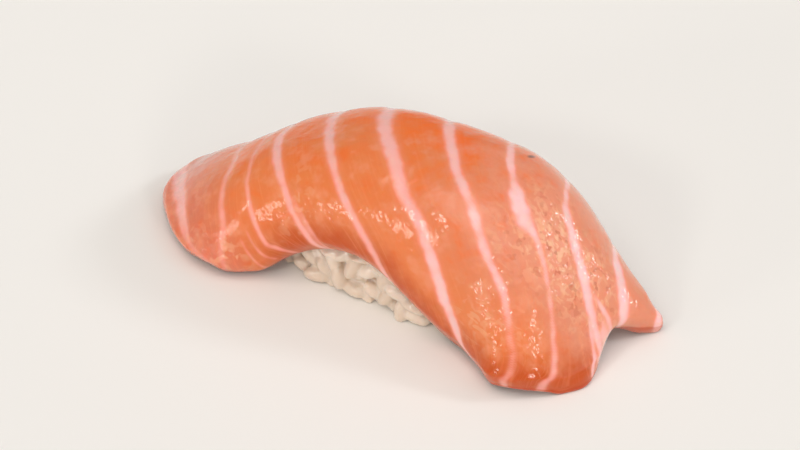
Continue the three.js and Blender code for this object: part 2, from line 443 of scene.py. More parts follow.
@dataclass(frozen=True)
class LongEdge:
    """One long edge of the slice: where it starts and ends, and how far the rice lifts it.

    corner_y holds the y of its two corners, where those aren't left to the drape.
    """

    start_x: float
    end_x: float
    lift: float
    peak_x: float
    left: EdgeRun
    right: EdgeRun
    corner_y: tuple[float, float] | None = None
    corner_blend: float = 0.35
    softness: float = 0.16

    def height(self, x: np.ndarray) -> np.ndarray:
        """Height over the board: lift * u ^ sharpness, with u = 1 - |distance / run| ^ roundness, softly
        kept above 0.

        Args:
            x: Places along the slice.

        Returns:
            Millimetres.
        """
        left = x < self.peak_x
        run, roundness, sharpness = (
            np.where(left, getattr(self.left, key), getattr(self.right, key))
            for key in ("run", "roundness", "sharpness"))
        away = np.abs(x - self.peak_x) / run
        plain = 1 - away**roundness
        return self.lift * ((plain + np.hypot(plain, self.softness)) / 2) ** sharpness


@dataclass(frozen=True)
class Drape:
    """The surface that the slice's underside lies on, and the slice's outline on it."""

    ridge_height: float = 24.0
    ridge_x: float = 4.0
    left: RidgeEnd = RidgeEnd(52.0, 2.2, 1.2)
    right: RidgeEnd = RidgeEnd(38.2, 2.8, 1.15)
    slant: float = 0.3
    slant_from_y: float = 6.0
    middle_squareness: float = 4.0
    end_squareness: float = 2.4
    softening: tuple[float, float] = (8.0, 36.0)
    foot_rounding: float = 3.0
    pad_half_width: float = 13.2
    normal_span: float = 2.2
    end_reach: float = 3.0
    least_crest: float = 0.001
    row_samples: int = 321
    front_foot: Curve = (
        (-52, -12), (-42, -17.1), (-36.5, -20.1), (-31, -21.3), (-27, -20.2), (-24, -18.3), (-18, -16.5),
        (4, -16.2), (17, -15.6), (23, -18.2), (28, -21.6), (34, -22), (40, -19.5), (50, -14))
    back_foot: Curve = (
        (-52, 3), (-34, 9), (-18, 13.5), (0, 15.2), (14, 16), (24, 15.5), (38, 11.5), (50, 9))
    front_edge: LongEdge = LongEdge(-31, 28, 10.5, -5, EdgeRun(18, 2, 1), EdgeRun(24, 2, 2))
    back_edge: LongEdge = LongEdge(-46.5, 44.3, 14, 0, EdgeRun(34, 2.5, 1), EdgeRun(30, 2.5, 1), (1.5, 7.6))
    left_end: Curve = (
        (-31, -21.2), (-36.4, -19.9), (-42, -16.6), (-47, -12), (-48.6, -7), (-48, -3), (-46.5, 1.5))
    right_end: Curve = (
        (27.6, -21.3), (30.8, -19.8), (34, -17.6), (37, -15), (39.2, -11.8), (38.8, -8), (37.6, -4.4),
        (37.2, -1.2), (38.8, 1.6), (41.6, 4.2), (44.3, 7.6))

    def section(self, x: np.ndarray, y: np.ndarray | float) -> tuple[np.ndarray, ...]:
        """Cross-section of the drape at x: how high the ridge is, and what the arch over y is like.

        Args:
            x: Places along the slice.
            y: Places across it, which matter only where the right end is cut at a slant.

        Returns:
            Crest height, and the arch's middle, half width and squareness.
        """
        left = x < self.ridge_x
        reach = np.where(left, self.left.reach, self.right.reach + self.slant * (y - self.slant_from_y))
        power = np.where(left, self.left.power, self.right.power)
        fall = np.where(left, self.left.fall, self.right.fall)
        base = 1 - np.abs((x - self.ridge_x) / reach) ** power
        crest = self.ridge_height * np.where(base > 0, np.abs(base) ** fall, base)
        front, back = through_points(self.front_foot, x), through_points(self.back_foot, x)
        soft = smoothstep(np.abs(x), *self.softening)
        squareness = self.middle_squareness * (1 - soft) + self.end_squareness * soft
        return crest, (front + back) / 2, (back - front) / 2, squareness

    def height(self, x: np.ndarray, y: np.ndarray) -> np.ndarray:
        """Height of the underside: the arch crest * (1 - |y - middle|/half ^ squareness), rounded off
        where it meets the board.

        Args:
            x: Places along the slice.
            y: Places across it.

        Returns:
            z at each place.
        """
        crest, middle, half, squareness = self.section(x, y)
        arch = np.where(crest < 0, crest, crest * (1 - np.abs((y - middle) / half) ** squareness))
        near_foot = np.maximum(self.foot_rounding - np.abs(arch), 0) / self.foot_rounding
        return np.maximum(arch, 0) + near_foot**2 * self.foot_rounding / 4

    def normal(self, x: np.ndarray, y: np.ndarray) -> np.ndarray:
        """Unit direction square to the drape, from height differences over the normal span.

        Args:
            x: Places along the slice.
            y: Places across it.

        Returns:
            (..., 3) directions.
        """
        span = self.normal_span
        slope_x = (self.height(x + span, y) - self.height(x - span, y)) / (2 * span)
        slope_y = (self.height(x, y + span) - self.height(x, y - span)) / (2 * span)
        n = np.stack([-slope_x, -slope_y, np.ones_like(slope_x)], -1)
        return n / np.linalg.norm(n, axis=-1, keepdims=True)

    def edge_point(self, side: Side, s: np.ndarray) -> np.ndarray:
        """A long edge seen from above: the place where the arch at x has the edge's height.

        Args:
            side: Which long edge.
            s: Shares of the slice's length.

        Returns:
            (..., 2) places.
        """
        edge = self.front_edge if side is Side.FRONT else self.back_edge
        x = edge.start_x + (edge.end_x - edge.start_x) * s
        crest, middle, half, squareness = self.section(x, side.value * self.pad_half_width)
        share = np.clip(1 - edge.height(x) / np.maximum(crest, self.least_crest), 0, 1)
        y = middle + side.value * half * share ** (1 / squareness)
        if edge.corner_y:
            left = 1 - smoothstep(s, 0, edge.corner_blend)
            right = 1 - smoothstep(1 - s, 0, edge.corner_blend)
            y = y * (1 - left - right) + edge.corner_y[0] * left + edge.corner_y[1] * right
        return np.stack([x, y], -1)

    def plan(self, s: np.ndarray, t: np.ndarray) -> np.ndarray:
        """Plan position: straight across between the long edges, bent near each end by that end's curve.

        The bend is the end curve less its chord, times (1 - s)^reach on the left and s^reach on the right.

        Args:
            s: Shares of the slice's length.
            t: Shares of its width, from front to back, shaped like s.

        Returns:
            (..., 2) places.
        """
        across = t[..., None]
        place = self.edge_point(Side.FRONT, s) * (1 - across) + self.edge_point(Side.BACK, s) * across
        for end, weight in (
                (self.left_end, (1 - s) ** self.end_reach), (self.right_end, s**self.end_reach)):
            chord = np.array(end[0]) * (1 - across) + np.array(end[-1]) * across
            place = place + (spline(np.array(end), t) - chord) * weight[..., None]
        return place

    def rows(self, s: np.ndarray, t: np.ndarray) -> tuple[np.ndarray, np.ndarray]:
        """Points of the underside, spaced along each row by its length over the drape.

        Each row is sampled finely and its running length found. All rows are then read back with one
        interpolation, in which row k covers the numbers from k to k + 1.

        Args:
            s: (n,) shares of the slice's length.
            t: (n, m) shares of the width at which each row is read.

        Returns:
            (n, m, 3) points and the (n,) lengths of the rows.
        """
        fine = np.broadcast_to(np.linspace(0, 1, self.row_samples), (len(s), self.row_samples))
        place = self.plan(np.broadcast_to(s[:, None], fine.shape), fine)
        z = self.height(place[..., 0], place[..., 1])
        step = np.hypot(np.linalg.norm(np.diff(place, axis=1), axis=-1), np.diff(z, axis=1))
        run = np.concatenate([np.zeros((len(s), 1)), np.cumsum(step, axis=1)], axis=1)
        number = np.arange(len(s))[:, None]
        share = run / run[:, -1:] * (1 - TINY) + number
        wanted = np.clip(t, 0, 1) * (1 - TINY) + number
        parameter = np.interp(wanted.ravel(), share.ravel(), fine.ravel()).reshape(t.shape)
        place = self.plan(np.broadcast_to(s[:, None], t.shape), parameter)
        z = self.height(place[..., 0], place[..., 1])
        return np.concatenate([place, z[..., None]], -1), run[:, -1]


# ---------------------------------------------------------------- the slice


@dataclass(frozen=True)
class FatLine:
    """One white line of fat between two blocks of muscle.

    path holds (share along, share across, width in mm, strength), from the front edge to the back edge. A
    line that divides runs from edge to edge; the others are short threads of fat beside it.
    """

    path: tuple[tuple[float, float, float, float], ...]
    divides: bool = True
    samples: int = 70


@dataclass
class FatPattern:
    """All the fat lines, and how far each place of the slice is from them."""

    spacing: float = 9.0
    softness: float = 0.6
    usual_width: float = 1.5
    bell_reach: float = 2.0
    faintest: float = 1e-6
    farthest: float = 9.0
    outer_gap: float = 5.0
    lines: tuple[FatLine, ...] = (
        FatLine((
            (0.025, 0.0, 0.9, 0.2), (0.035, 0.20, 1.1, 0.35), (0.042, 0.28, 1.5, 0.6),
            (0.049, 0.39, 2.0, 0.95), (0.055, 0.53, 2.5, 1.0), (0.038, 0.68, 2.5, 1.0),
            (0.0, 0.86, 2.2, 0.9)
        )),
        FatLine((
            (0.055, 0.0, 0.9, 0.2), (0.085, 0.17, 1.0, 0.45), (0.101, 0.24, 1.1, 0.55),
            (0.124, 0.41, 1.2, 0.6), (0.147, 0.56, 1.2, 0.6), (0.150, 0.65, 1.1, 0.5),
            (0.13, 1.0, 1.1, 0.45)
        )),
        FatLine((
            (0.25, 0.0, 0.7, 0.5), (0.205, 0.09, 0.8, 0.75), (0.182, 0.14, 0.8, 0.8),
            (0.166, 0.28, 0.8, 0.75), (0.168, 0.41, 0.8, 0.6), (0.178, 0.47, 0.8, 0.55),
            (0.196, 0.7, 0.9, 0.5), (0.19, 1.0, 1.0, 0.5)
        )),
        FatLine((
            (0.352, 0.0, 0.9, 0.6), (0.323, 0.04, 1.0, 0.8), (0.280, 0.19, 1.1, 0.85),
            (0.254, 0.33, 1.2, 0.9), (0.233, 0.47, 1.5, 0.95), (0.230, 0.61, 1.6, 0.85),
            (0.236, 0.8, 1.5, 0.8), (0.25, 1.0, 1.4, 0.75)
        )),
        FatLine((
            (0.585, 0.0, 1.1, 0.6), (0.535, 0.07, 1.3, 0.8), (0.467, 0.17, 1.3, 0.9),
            (0.399, 0.28, 1.3, 0.95), (0.350, 0.40, 1.5, 1.0), (0.332, 0.49, 1.7, 1.0),
            (0.316, 0.64, 1.8, 1.0), (0.309, 0.8, 1.8, 0.9), (0.315, 1.0, 1.6, 0.8)
        )),
        FatLine((
            (0.90, 0.0, 1.1, 0.5), (0.822, 0.08, 1.5, 0.8), (0.742, 0.17, 1.7, 0.95),
            (0.682, 0.25, 1.8, 1.0), (0.609, 0.33, 1.9, 1.0), (0.540, 0.37, 1.9, 1.0),
            (0.463, 0.48, 2.1, 1.0), (0.407, 0.70, 2.3, 1.0), (0.39, 0.85, 2.1, 0.95),
            (0.385, 1.0, 1.9, 0.9)
        )),
        FatLine((
            (1.0, 0.02, 1.1, 0.35), (0.939, 0.18, 1.4, 0.5), (0.868, 0.31, 1.4, 0.85),
            (0.810, 0.37, 1.4, 0.9), (0.733, 0.42, 1.6, 1.0), (0.638, 0.48, 1.6, 1.0),
            (0.595, 0.56, 1.6, 1.0), (0.564, 0.64, 1.7, 1.0), (0.504, 0.78, 1.7, 0.95),
            (0.475, 0.9, 1.6, 0.9), (0.46, 1.0, 1.5, 0.85)
        )),
        FatLine((
            (1.0, 0.17, 1.1, 0.35), (0.956, 0.28, 1.2, 0.5), (0.885, 0.41, 1.0, 0.55),
            (0.811, 0.51, 1.2, 0.75), (0.773, 0.53, 2.6, 1.0), (0.746, 0.56, 2.6, 1.0),
            (0.717, 0.62, 1.4, 0.8), (0.645, 0.76, 1.3, 0.85), (0.592, 0.9, 1.4, 0.85),
            (0.562, 1.0, 1.4, 0.8)
        )),
        FatLine((
            (1.0, 0.53, 0.8, 0.6), (0.961, 0.56, 1.4, 0.85), (0.907, 0.62, 1.8, 1.0),
            (0.833, 0.68, 1.6, 1.0), (0.802, 0.72, 1.2, 0.9), (0.733, 0.86, 1.2, 0.8),
            (0.683, 1.0, 1.2, 0.75)
        )),
        FatLine((
            (1.0, 0.725, 1.5, 0.95), (0.955, 0.78, 2.1, 1.0), (0.895, 0.84, 2.0, 1.0),
            (0.855, 0.91, 1.5, 0.9), (0.80, 1.0, 1.4, 0.8)
        )),
        FatLine((
            (1.0, 0.945, 1.3, 0.9), (0.987, 0.97, 1.2, 0.9), (0.955, 1.0, 1.0, 0.8)
        )),
        FatLine((
            (0.160, 0.0, 0.5, 0.4), (0.140, 0.06, 0.5, 0.55), (0.127, 0.13, 0.5, 0.5),
            (0.122, 0.2, 0.5, 0.2)
        ), divides=False),
        FatLine((
            (0.19, 0.03, 0.5, 0.5), (0.165, 0.09, 0.5, 0.6), (0.150, 0.16, 0.5, 0.55),
            (0.143, 0.24, 0.5, 0.2)
        ), divides=False),
        FatLine((
            (0.367, 0.0, 0.5, 0.5), (0.341, 0.05, 0.6, 0.6), (0.299, 0.19, 0.6, 0.6),
            (0.264, 0.34, 0.5, 0.3)
        ), divides=False),
        FatLine((
            (1.0, 0.44, 0.6, 0.6), (0.965, 0.50, 0.7, 0.75), (0.935, 0.56, 0.7, 0.75),
            (0.90, 0.63, 0.6, 0.5)
        ), divides=False),
        FatLine((
            (1.0, 0.58, 4.5, 0.55), (0.965, 0.59, 4.0, 0.55), (0.93, 0.60, 2.6, 0.3)
        ), divides=False),
        FatLine((
            (1.0, 0.66, 0.7, 0.7), (0.974, 0.665, 0.9, 0.8), (0.945, 0.645, 0.8, 0.7),
            (0.915, 0.63, 0.6, 0.5)
        ), divides=False),
    )

    def fields(self, points: np.ndarray, s: np.ndarray, t: np.ndarray,
               surface: Surface) -> dict[str, np.ndarray]:
        """Finds, for each point, the fat line that shows most there, and its place between two lines.

        Each line becomes a chain of straight pieces on the surface. A point's distance to a piece is taken
        to the nearest place on it, and the smallest counts. A line shows by its strength times a bell of
        distance over width, and the line with the largest such value wins; a faint extra lets the nearest
        one win far from them all. The band number grows by 1 from one dividing line to the next, in
        between as (distance to the line on the left) / (sum of both).

        Args:
            points: (..., 3) points of the slice's upper side.
            s: Their shares of the length.
            t: Their shares of the width.
            surface: Gives the upper side's points for arrays of s and t.

        Returns:
            "fat_mm", the distance to the winning line scaled to a line of the usual width and rounded off
            at the line's middle, "fat_strength", and "band", the band number times the usual spacing.
        """
        flat, flat_s, flat_t = points.reshape(-1, 3), s.ravel(), t.ravel()
        rows = np.arange(len(flat))
        best = np.zeros(len(flat))
        near = np.full(len(flat), self.farthest)
        strength = np.zeros(len(flat))
        band = np.full(len(flat), np.nan)
        left_gap = np.full(len(flat), self.outer_gap)
        for number, line in enumerate(self.lines):
            path = spline(np.array(line.path), np.linspace(0, 1, line.samples))
            chain = surface(path[:, 0], path[:, 1])
            start, step = chain[:-1], np.diff(chain, axis=0)
            offset = flat[:, None, :] - start[None]
            along = np.clip((offset * step).sum(-1) / (step**2).sum(-1), 0, 1)
            gap = np.linalg.norm(offset - along[..., None] * step, axis=-1)
            piece = gap.argmin(axis=1)
            gap, share = gap[rows, piece], along[rows, piece][:, None]
            width, here = (path[piece, 2:] * (1 - share) + path[piece + 1, 2:] * share).T
            distance = np.hypot(gap * self.usual_width / width, self.softness)
            shows = here * np.exp(-(distance / self.bell_reach) ** 2) + self.faintest / (1 + distance)
            wins = shows > best
            best, near = np.where(wins, shows, best), np.where(wins, distance, near)
            strength = np.where(wins, here, strength)
            if line.divides:
                is_left = flat_s < np.interp(flat_t, path[:, 1], path[:, 0])
                first = is_left & np.isnan(band)
                band = np.where(first, number - gap / (left_gap + gap), band)
                left_gap, last = gap, number + 1
        band = np.where(np.isnan(band), last - self.outer_gap / (left_gap + self.outer_gap), band)
        fields = {"fat_mm": near, "fat_strength": strength, "band": band * self.spacing}
        return {key: values.reshape(points.shape[:-1]) for key, values in fields.items()}


@dataclass(frozen=True)
class SoftPatch:
    """A patch of the slice that fades out all round."""

    along: float
    across: float
    reach_along: float
    reach_across: float
    amount: float

    def bell(self, s: np.ndarray, t: np.ndarray) -> np.ndarray:
        """Strength at shares (s, t) of the slice: amount * exp(-distance^2), the distance in reaches."""
        return self.amount * np.exp(-((s - self.along) / self.reach_along) ** 2
                                    - ((t - self.across) / self.reach_across) ** 2)


@dataclass(frozen=True)
class FleshRelief:
    """The fine shape of the cut, in mm off the plain upper side."""

    valley_depth: float = 0.16
    valley_gain: float = 0.4
    valley_width: float = 0.7
    pillow_height: float = 0.22
    pillow_reach: float = 2.2
    waves: tuple[Noise, ...] = (Noise(0.28, 11, 3), Noise(0.10, 4.5, 4))
    fibres: Noise = Noise(0.022, 1, 5)
    fibre_size: tuple[float, float] = (0.9, 7.0)
    fibre_level: Noise = Noise(0.5, 5, 8)
    fibre_drift: Noise = Noise(3, 7, 9)
    band_drift: float = 2.0
    torn_ridges: Noise = Noise(0.14, 1, 6)
    torn_grain: Noise = Noise(0.10, 1, 7)
    torn_size: tuple[float, float] = (2.4, 1.2)
    torn_turn: float = -22.0
    rim_fade: float = 1.5

    def height(self, points: np.ndarray, fields: dict[str, np.ndarray], rough: np.ndarray,
               across: np.ndarray, rim_mm: np.ndarray) -> np.ndarray:
        """Adds up the relief: fat lines lie in shallow valleys, the flesh swells between them, and slow
        waves keep the cut from being smooth. Fibres run beside the lines, and where the knife tore the
        flesh, short ridges lie across them. All of it dies out at the rim.

        Args:
            points: (..., 3) points of the upper side.
            fields: What FatPattern.fields gave there.
            rough: Roughness of the cut there, 0 to 1.
            across: Distance from the front edge in mm.
            rim_mm: Distance from the rounded outline in mm.

        Returns:
            Millimetres along the direction of the thickness.
        """
        distance = fields["fat_mm"]
        bell = np.exp(self.valley_gain - (distance / self.valley_width) ** 2)
        valley = -self.valley_depth * fields["fat_strength"] * bell
        pillow = self.pillow_height * (1 - np.exp(-distance / self.pillow_reach))
        slow = sum(wave.at(points) for wave in self.waves)
        level = self.fibre_level.at(points)
        beside = (fields["band"] + self.band_drift * level) / self.fibre_size[0]
        lengthwise = (across + self.fibre_drift.at(points)) / self.fibre_size[1]
        fibres = (1 - rough) * self.fibres.at(np.stack([beside, lengthwise, level], -1))
        turn = math.radians(self.torn_turn)
        long, short = self.torn_size
        x, y, z = np.moveaxis(points, -1, 0)
        turned = np.stack([(x * math.cos(turn) + y * math.sin(turn)) / long,
                           (y * math.cos(turn) - x * math.sin(turn)) / short, z / short], -1)
        torn = rough * (self.torn_ridges.at(turned) + self.torn_grain.at(points))
        return (valley + pillow + slow + fibres + torn) * (1 - np.exp(-rim_mm / self.rim_fade))


@dataclass
class SalmonSlice:
    """The slice of salmon, from its drape, its thickness and its fat lines."""

    drape: Drape
    fat: FatPattern = field(default_factory=FatPattern)
    relief: FleshRelief = FleshRelief()
    name: str = "salmon_slice"
    length: float = 112.0
    middle_thickness: float = 4.0
    end_thickness: float = 3.0
    end_run: float = 0.3
    front_thinning: float = 0.65
    front_thinning_reach: float = 0.1
    back_thinning: float = 0.3
    back_thinning_reach: float = 0.08
    tip: SoftPatch = SoftPatch(0.965, 0.93, 0.06, 0.24, 1.0)
    tip_swell: float = 1.3
    tip_wall_share: float = 0.36
    corner_radii: tuple[float, float, float, float] = (6.0, 5.0, 3.2, 2.2)
    edge_radius: float = 2.4
    wall_share: float = 0.42
    wall_bulge: float = 0.2
    ring_shares: tuple[float, ...] = (0.25, 0.6)
    upright_share: float = 0.25
    upright_reach: float = 2.6
    upright_along: tuple[float, float] = (0.5, 0.8)
    upright_height: tuple[float, float] = (1.0, 5.0)
    crease_angle: float = 60.0
    length_steps: int = 300
    width_steps: int = 142
    end_crowding: tuple[float, float] = (0.012, 3.0)
    side_crowding: tuple[float, float] = (0.02, 3.0)
    zones: tuple[SoftPatch, ...] = (
        SoftPatch(0.07, 0.12, 0.06, 0.13, 1.0),
        SoftPatch(0.29, 0.22, 0.05, 0.14, 0.8),
        SoftPatch(0.84, 0.55, 0.09, 0.13, 1.0),
        SoftPatch(0.93, 0.62, 0.07, 0.14, 0.9),
        SoftPatch(0.86, 0.22, 0.08, 0.10, 0.5),
    )
    fleck: SoftPatch = SoftPatch(0.706, 0.730, 0.005, 0.014, 1.0)

    def thickness(self, s: np.ndarray, t: np.ndarray) -> np.ndarray:
        """Thickness: end to middle value along the slice, less by an exponential towards the long edges,
        and more by a bell at the swollen tip.

        Args:
            s: Shares of the length.
            t: Shares of the width.

        Returns:
            Millimetres.
        """
        middle = smoothstep(s, 0, self.end_run) * smoothstep(1 - s, 0, self.end_run)
        body = self.end_thickness + (self.middle_thickness - self.end_thickness) * middle
        front = 1 - middle * self.front_thinning * np.exp(-t / self.front_thinning_reach)
        back = 1 - self.back_thinning * np.exp((t - 1) / self.back_thinning_reach)
        return body * front * back + self.tip_swell * self.tip.bell(s, t)

    def upper(self, s: np.ndarray, t: np.ndarray) -> np.ndarray:
        """Points of the plain upper side, without edge rounding or relief, for one-dimensional s and t."""
        under, _ = self.drape.rows(np.clip(s, 0, 1), np.clip(t, 0, 1)[:, None])
        under = under[:, 0]
        thick = self.thickness(s, t)[:, None]
        return under + self.drape.normal(under[:, 0], under[:, 1]) * thick

    def rounding(self, distance: np.ndarray, s: np.ndarray, t: np.ndarray) -> np.ndarray:
        """Share of the thickness near an edge: a quarter circle standing on the cut wall, which is higher
        at the tip.

        Args:
            distance: Distance from the edge in mm.
            s: Shares of the length.
            t: Shares of the width.

        Returns:
            The share at each place.
        """
        inside = np.clip(distance / self.edge_radius, 0, 1)
        wall = self.wall_share + self.tip_wall_share * self.tip.bell(s, t)
        return wall + (1 - wall) * np.sqrt(1 - (1 - inside) ** 2)

    def round_corners(self, from_end: np.ndarray, from_side: np.ndarray, at_right: np.ndarray,
                      at_back: np.ndarray) -> tuple[np.ndarray, np.ndarray, np.ndarray]:
        """Pulls the square corners of the slice in to quarter circles.

        Within a corner's radius, u and v are 1 at the edges and 0 a radius inside. They become
        u sqrt(1 - v^2 / 2) and v sqrt(1 - u^2 / 2), which carry a square onto a disc.

        Args:
            from_end: Distance to the nearer end.
            from_side: Distance to the nearer side.
            at_right: Whether the nearer end is the right one.
            at_back: Whether the nearer side is the back.

        Returns:
            The two new distances, and the distance to the rounded outline.
        """
        radius = np.choose(at_right + 2 * at_back, self.corner_radii)
        u, v = (np.maximum(1 - distance / radius, 0) for distance in (from_end, from_side))
        new_u, new_v = u * np.sqrt(1 - v**2 / 2), v * np.sqrt(1 - u**2 / 2)
        new_end = np.where(u > 0, radius * (1 - new_u), from_end)
        new_side = np.where(v > 0, radius * (1 - new_v), from_side)
        round_rim = radius * (1 - np.hypot(new_u, new_v))
        rim = np.where((u > 0) & (v > 0), round_rim, np.minimum(new_end, new_side))
        return new_end, new_side, rim

    def glisten(self, s: np.ndarray, t: np.ndarray) -> np.ndarray:
        """Roughness of the cut at shares (s, t) of the slice: the largest of the zones' bells."""
        return np.max([zone.bell(s, t) for zone in self.zones], axis=0)

    def away(self, under: np.ndarray, rim_mm: np.ndarray, s: np.ndarray) -> np.ndarray:
        """Direction of the thickness: square to the drape, but leaning upright at a cut on the board.

        The lean is a bell of the distance from the rim. It is there only at the right end, and it fades as
        the underside leaves the board.

        Args:
            under: (..., 3) points of the underside.
            rim_mm: Distance from the rounded outline in mm.
            s: Shares of the length.

        Returns:
            (..., 3) unit vectors.
        """
        lean = (self.upright_share * np.exp(-(rim_mm / self.upright_reach) ** 2)
                * smoothstep(s, *self.upright_along)
                * (1 - smoothstep(under[..., 2], *self.upright_height)))[..., None]
        square = self.drape.normal(under[..., 0], under[..., 1])
        direction = square * (1 - lean) + np.array([0.0, 0.0, 1.0]) * lean
        return direction / np.linalg.norm(direction, axis=-1, keepdims=True)

    def cut_wall(self, top: np.ndarray, under: np.ndarray,
                 away: np.ndarray) -> tuple[np.ndarray, np.ndarray, np.ndarray]:
        """Shapes the cut wall: rings between the two rims, which bulge outward as a sine.

        Args:
            top: (n, m, 3) points of the upper side, numbered first.
            under: (n, m, 3) points of the underside, numbered next, before the rings.
            away: (n, m, 3) directions of the thickness.

        Returns:
            Numbers of the rim's points in the grid, the rings' points, and the wall's quads.
        """
        rows, columns = top.shape[:2]
        count = rows * columns
        index = np.arange(count).reshape(rows, columns)
        rim = np.concatenate([index[:, 0], index[-1, 1:], index[-2::-1, -1], index[0, -2:0:-1]])
        rim_top, rim_under = top.reshape(-1, 3)[rim], under.reshape(-1, 3)[rim]
        ahead = np.roll(rim_under, -1, axis=0) - np.roll(rim_under, 1, axis=0)
        outward = np.cross(ahead, away.reshape(-1, 3)[rim])
        outward /= np.linalg.norm(outward, axis=1, keepdims=True)
        rings = [
            rim_top + (rim_under - rim_top) * share
            + outward * (self.wall_bulge * math.sin(math.pi * (1 - share)))
            for share in self.ring_shares]
        on_wall = 2 * count + np.arange(len(rings) * len(rim)).reshape(len(rings), len(rim))
        loops = [rim, *on_wall, count + rim]
        quads = [np.stack([upper, lower, np.roll(lower, -1), np.roll(upper, -1)], -1)
                 for upper, lower in zip(loops[:-1], loops[1:])]
        return rim, np.concatenate(rings), np.concatenate(quads)

    def build(self, offset: np.ndarray) -> bpy.types.Object:
        """Builds the closed slice: upper side, underside and the cut wall round them.

        The upper side stands off the underside by thickness x edge rounding + relief.

        Args:
            offset: The shaping frame's place in the CAD frame.

        Returns:
            The slice.
        """
        s = crowded(self.length_steps, *self.end_crowding)
        t = crowded(self.width_steps, *self.side_crowding)
        square_s, square_t = np.meshgrid(s, t, indexing="ij")
        square, width = self.drape.rows(s, square_t)
        side_mm = width[:, None]
        at_right, at_back = square_s > 0.5, square_t > 0.5
        from_end, from_side, rim_mm = self.round_corners(
            np.minimum(square_s, 1 - square_s) * self.length,
            np.minimum(square_t, 1 - square_t) * side_mm, at_right, at_back)
        grid_s = np.where(at_right, 1 - from_end / self.length, from_end / self.length)
        grid_t = np.where(at_back, 1 - from_side / side_mm, from_side / side_mm)
        under = read_grid(square, s, t, grid_s, grid_t)
        thick = self.thickness(grid_s, grid_t)
        plain = under + self.drape.normal(under[..., 0], under[..., 1]) * thick[..., None]
        fields = self.fat.fields(plain, grid_s, grid_t, self.upper)
        fields["fat_mm"] = soften(fields["fat_mm"])
        away = self.away(under, rim_mm, grid_s)
        rough = self.glisten(grid_s, grid_t)
        across = grid_t * side_mm
        relief = self.relief.height(under + away * thick[..., None], fields, rough, across, rim_mm)
        top = under + away * (thick * self.rounding(rim_mm, grid_s, grid_t) + relief)[..., None]

        rim, rings, wall_quads = self.cut_wall(top, under, away)
        rows, columns = grid_s.shape
        count = rows * columns
        points = np.concatenate([top.reshape(-1, 3), under.reshape(-1, 3), rings])
        quads = np.concatenate([
            grid_faces(rows, columns), grid_faces(rows, columns, count, flip=True), wall_quads])

        def all_over(values: np.ndarray) -> np.ndarray:
            """The same values on the upper side, the underside and the rings."""
            flat = values.ravel()
            return np.concatenate([flat, flat, *[flat[rim]] * len(self.ring_shares)])

        attributes = {key: all_over(values) for key, values in {
            **fields, "glisten": rough, "along": grid_s, "across": grid_t, "across_mm": across,
            "fleck": self.fleck.bell(grid_s, grid_t), "rim_mm": rim_mm}.items()}
        attributes["wall"] = np.arange(len(points)) >= count
        piece = mesh_object(self.name, points, quads, offset, attributes)
        piece.data.set_sharp_from_angle(angle=math.radians(self.crease_angle))
        return piece

    def dress(self, piece: bpy.types.Object, finish: "SalmonFlesh") -> None:
        """Gives the slice its material and its place in the frame."""
        piece.data.materials.append(finish.material())
        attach(piece, "root")
        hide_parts("salmon")


# ---------------------------------------------------------------- the rice


@dataclass(frozen=True)
class RiceGrain:
    """One cooked grain: a bent spindle, in mm, with the share by which each size varies."""

    length: float = 5.2
    thickness: float = 3.0
    length_spread: float = 0.14
    thickness_spread: float = 0.08
    most_bend: float = 0.4
    bluntness: float = 2.2
    rings: int = 8
    sides: int = 8

    def template(self) -> tuple[np.ndarray, np.ndarray, np.ndarray]:
        """A grain about its middle, one unit long and wide: rings that close on a point at either end.

        The radius of a ring at share u of the length is (1 - |2u - 1|^bluntness)^0.5, a slightly blunt
        ellipsoid.

        Returns:
            Points, quads between the rings and triangles of the two tips. The faces look inwards;
            fusing the grains works either way.
        """
        u = (1 - np.cos(np.linspace(0, math.pi, self.rings + 1)[1:-1])) / 2
        radius = (1 - np.abs(2 * u - 1) ** self.bluntness) ** 0.5 / 2
        angle = np.arange(self.sides) / self.sides * 2 * math.pi
        x = np.repeat(u - 0.5, self.sides)
        y = np.outer(radius, np.cos(angle)).ravel()
        z = np.outer(radius, np.sin(angle)).ravel()
        points = np.concatenate([np.column_stack([x, y, z]), [[-0.5, 0, 0], [0.5, 0, 0]]])
        quads, tips = closed_tube(len(u), self.sides)
        return points, quads[:, ::-1], tips[:, ::-1]

    def shapes(self, centre: np.ndarray, axis: np.ndarray, out: np.ndarray,
               random: np.random.Generator) -> tuple[np.ndarray, np.ndarray]:
        """Makes one grain at each place, each of its own length, thickness and bend.

        A grain's middle line leaves its axis by a parabola. The draws are the lengths, the two
        thicknesses and the two bends, in that order.

        Args:
            centre: (n, 3) middles.
            axis: (n, 3) unit directions of their length.
            out: (n, 3) directions roughly square to the axes.
            random: Source of the draws.

        Returns:
            (n, k, 3) points, and the (n, 3) half axes.
        """
        side = np.cross(out, axis)
        side /= np.linalg.norm(side, axis=1, keepdims=True)
        third = np.cross(axis, side)
        count = len(centre)
        template, _, _ = self.template()
        long = self.length * (1 + self.length_spread * random.uniform(-1, 1, count))
        thick = self.thickness * (1 + self.thickness_spread * random.uniform(-1, 1, (2, count)))
        bend = random.uniform(-self.most_bend, self.most_bend, (2, count))
        x = template[None, :, 0] * long[:, None]
        sag = (2 * template[None, :, 0]) ** 2
        y = template[None, :, 1] * thick[0][:, None] + sag * bend[0][:, None]
        z = template[None, :, 2] * thick[1][:, None] + sag * bend[1][:, None]
        points = (centre[:, None] + x[..., None] * axis[:, None] + y[..., None] * side[:, None]
                  + z[..., None] * third[:, None])
        return points, axis * long[:, None] / 2


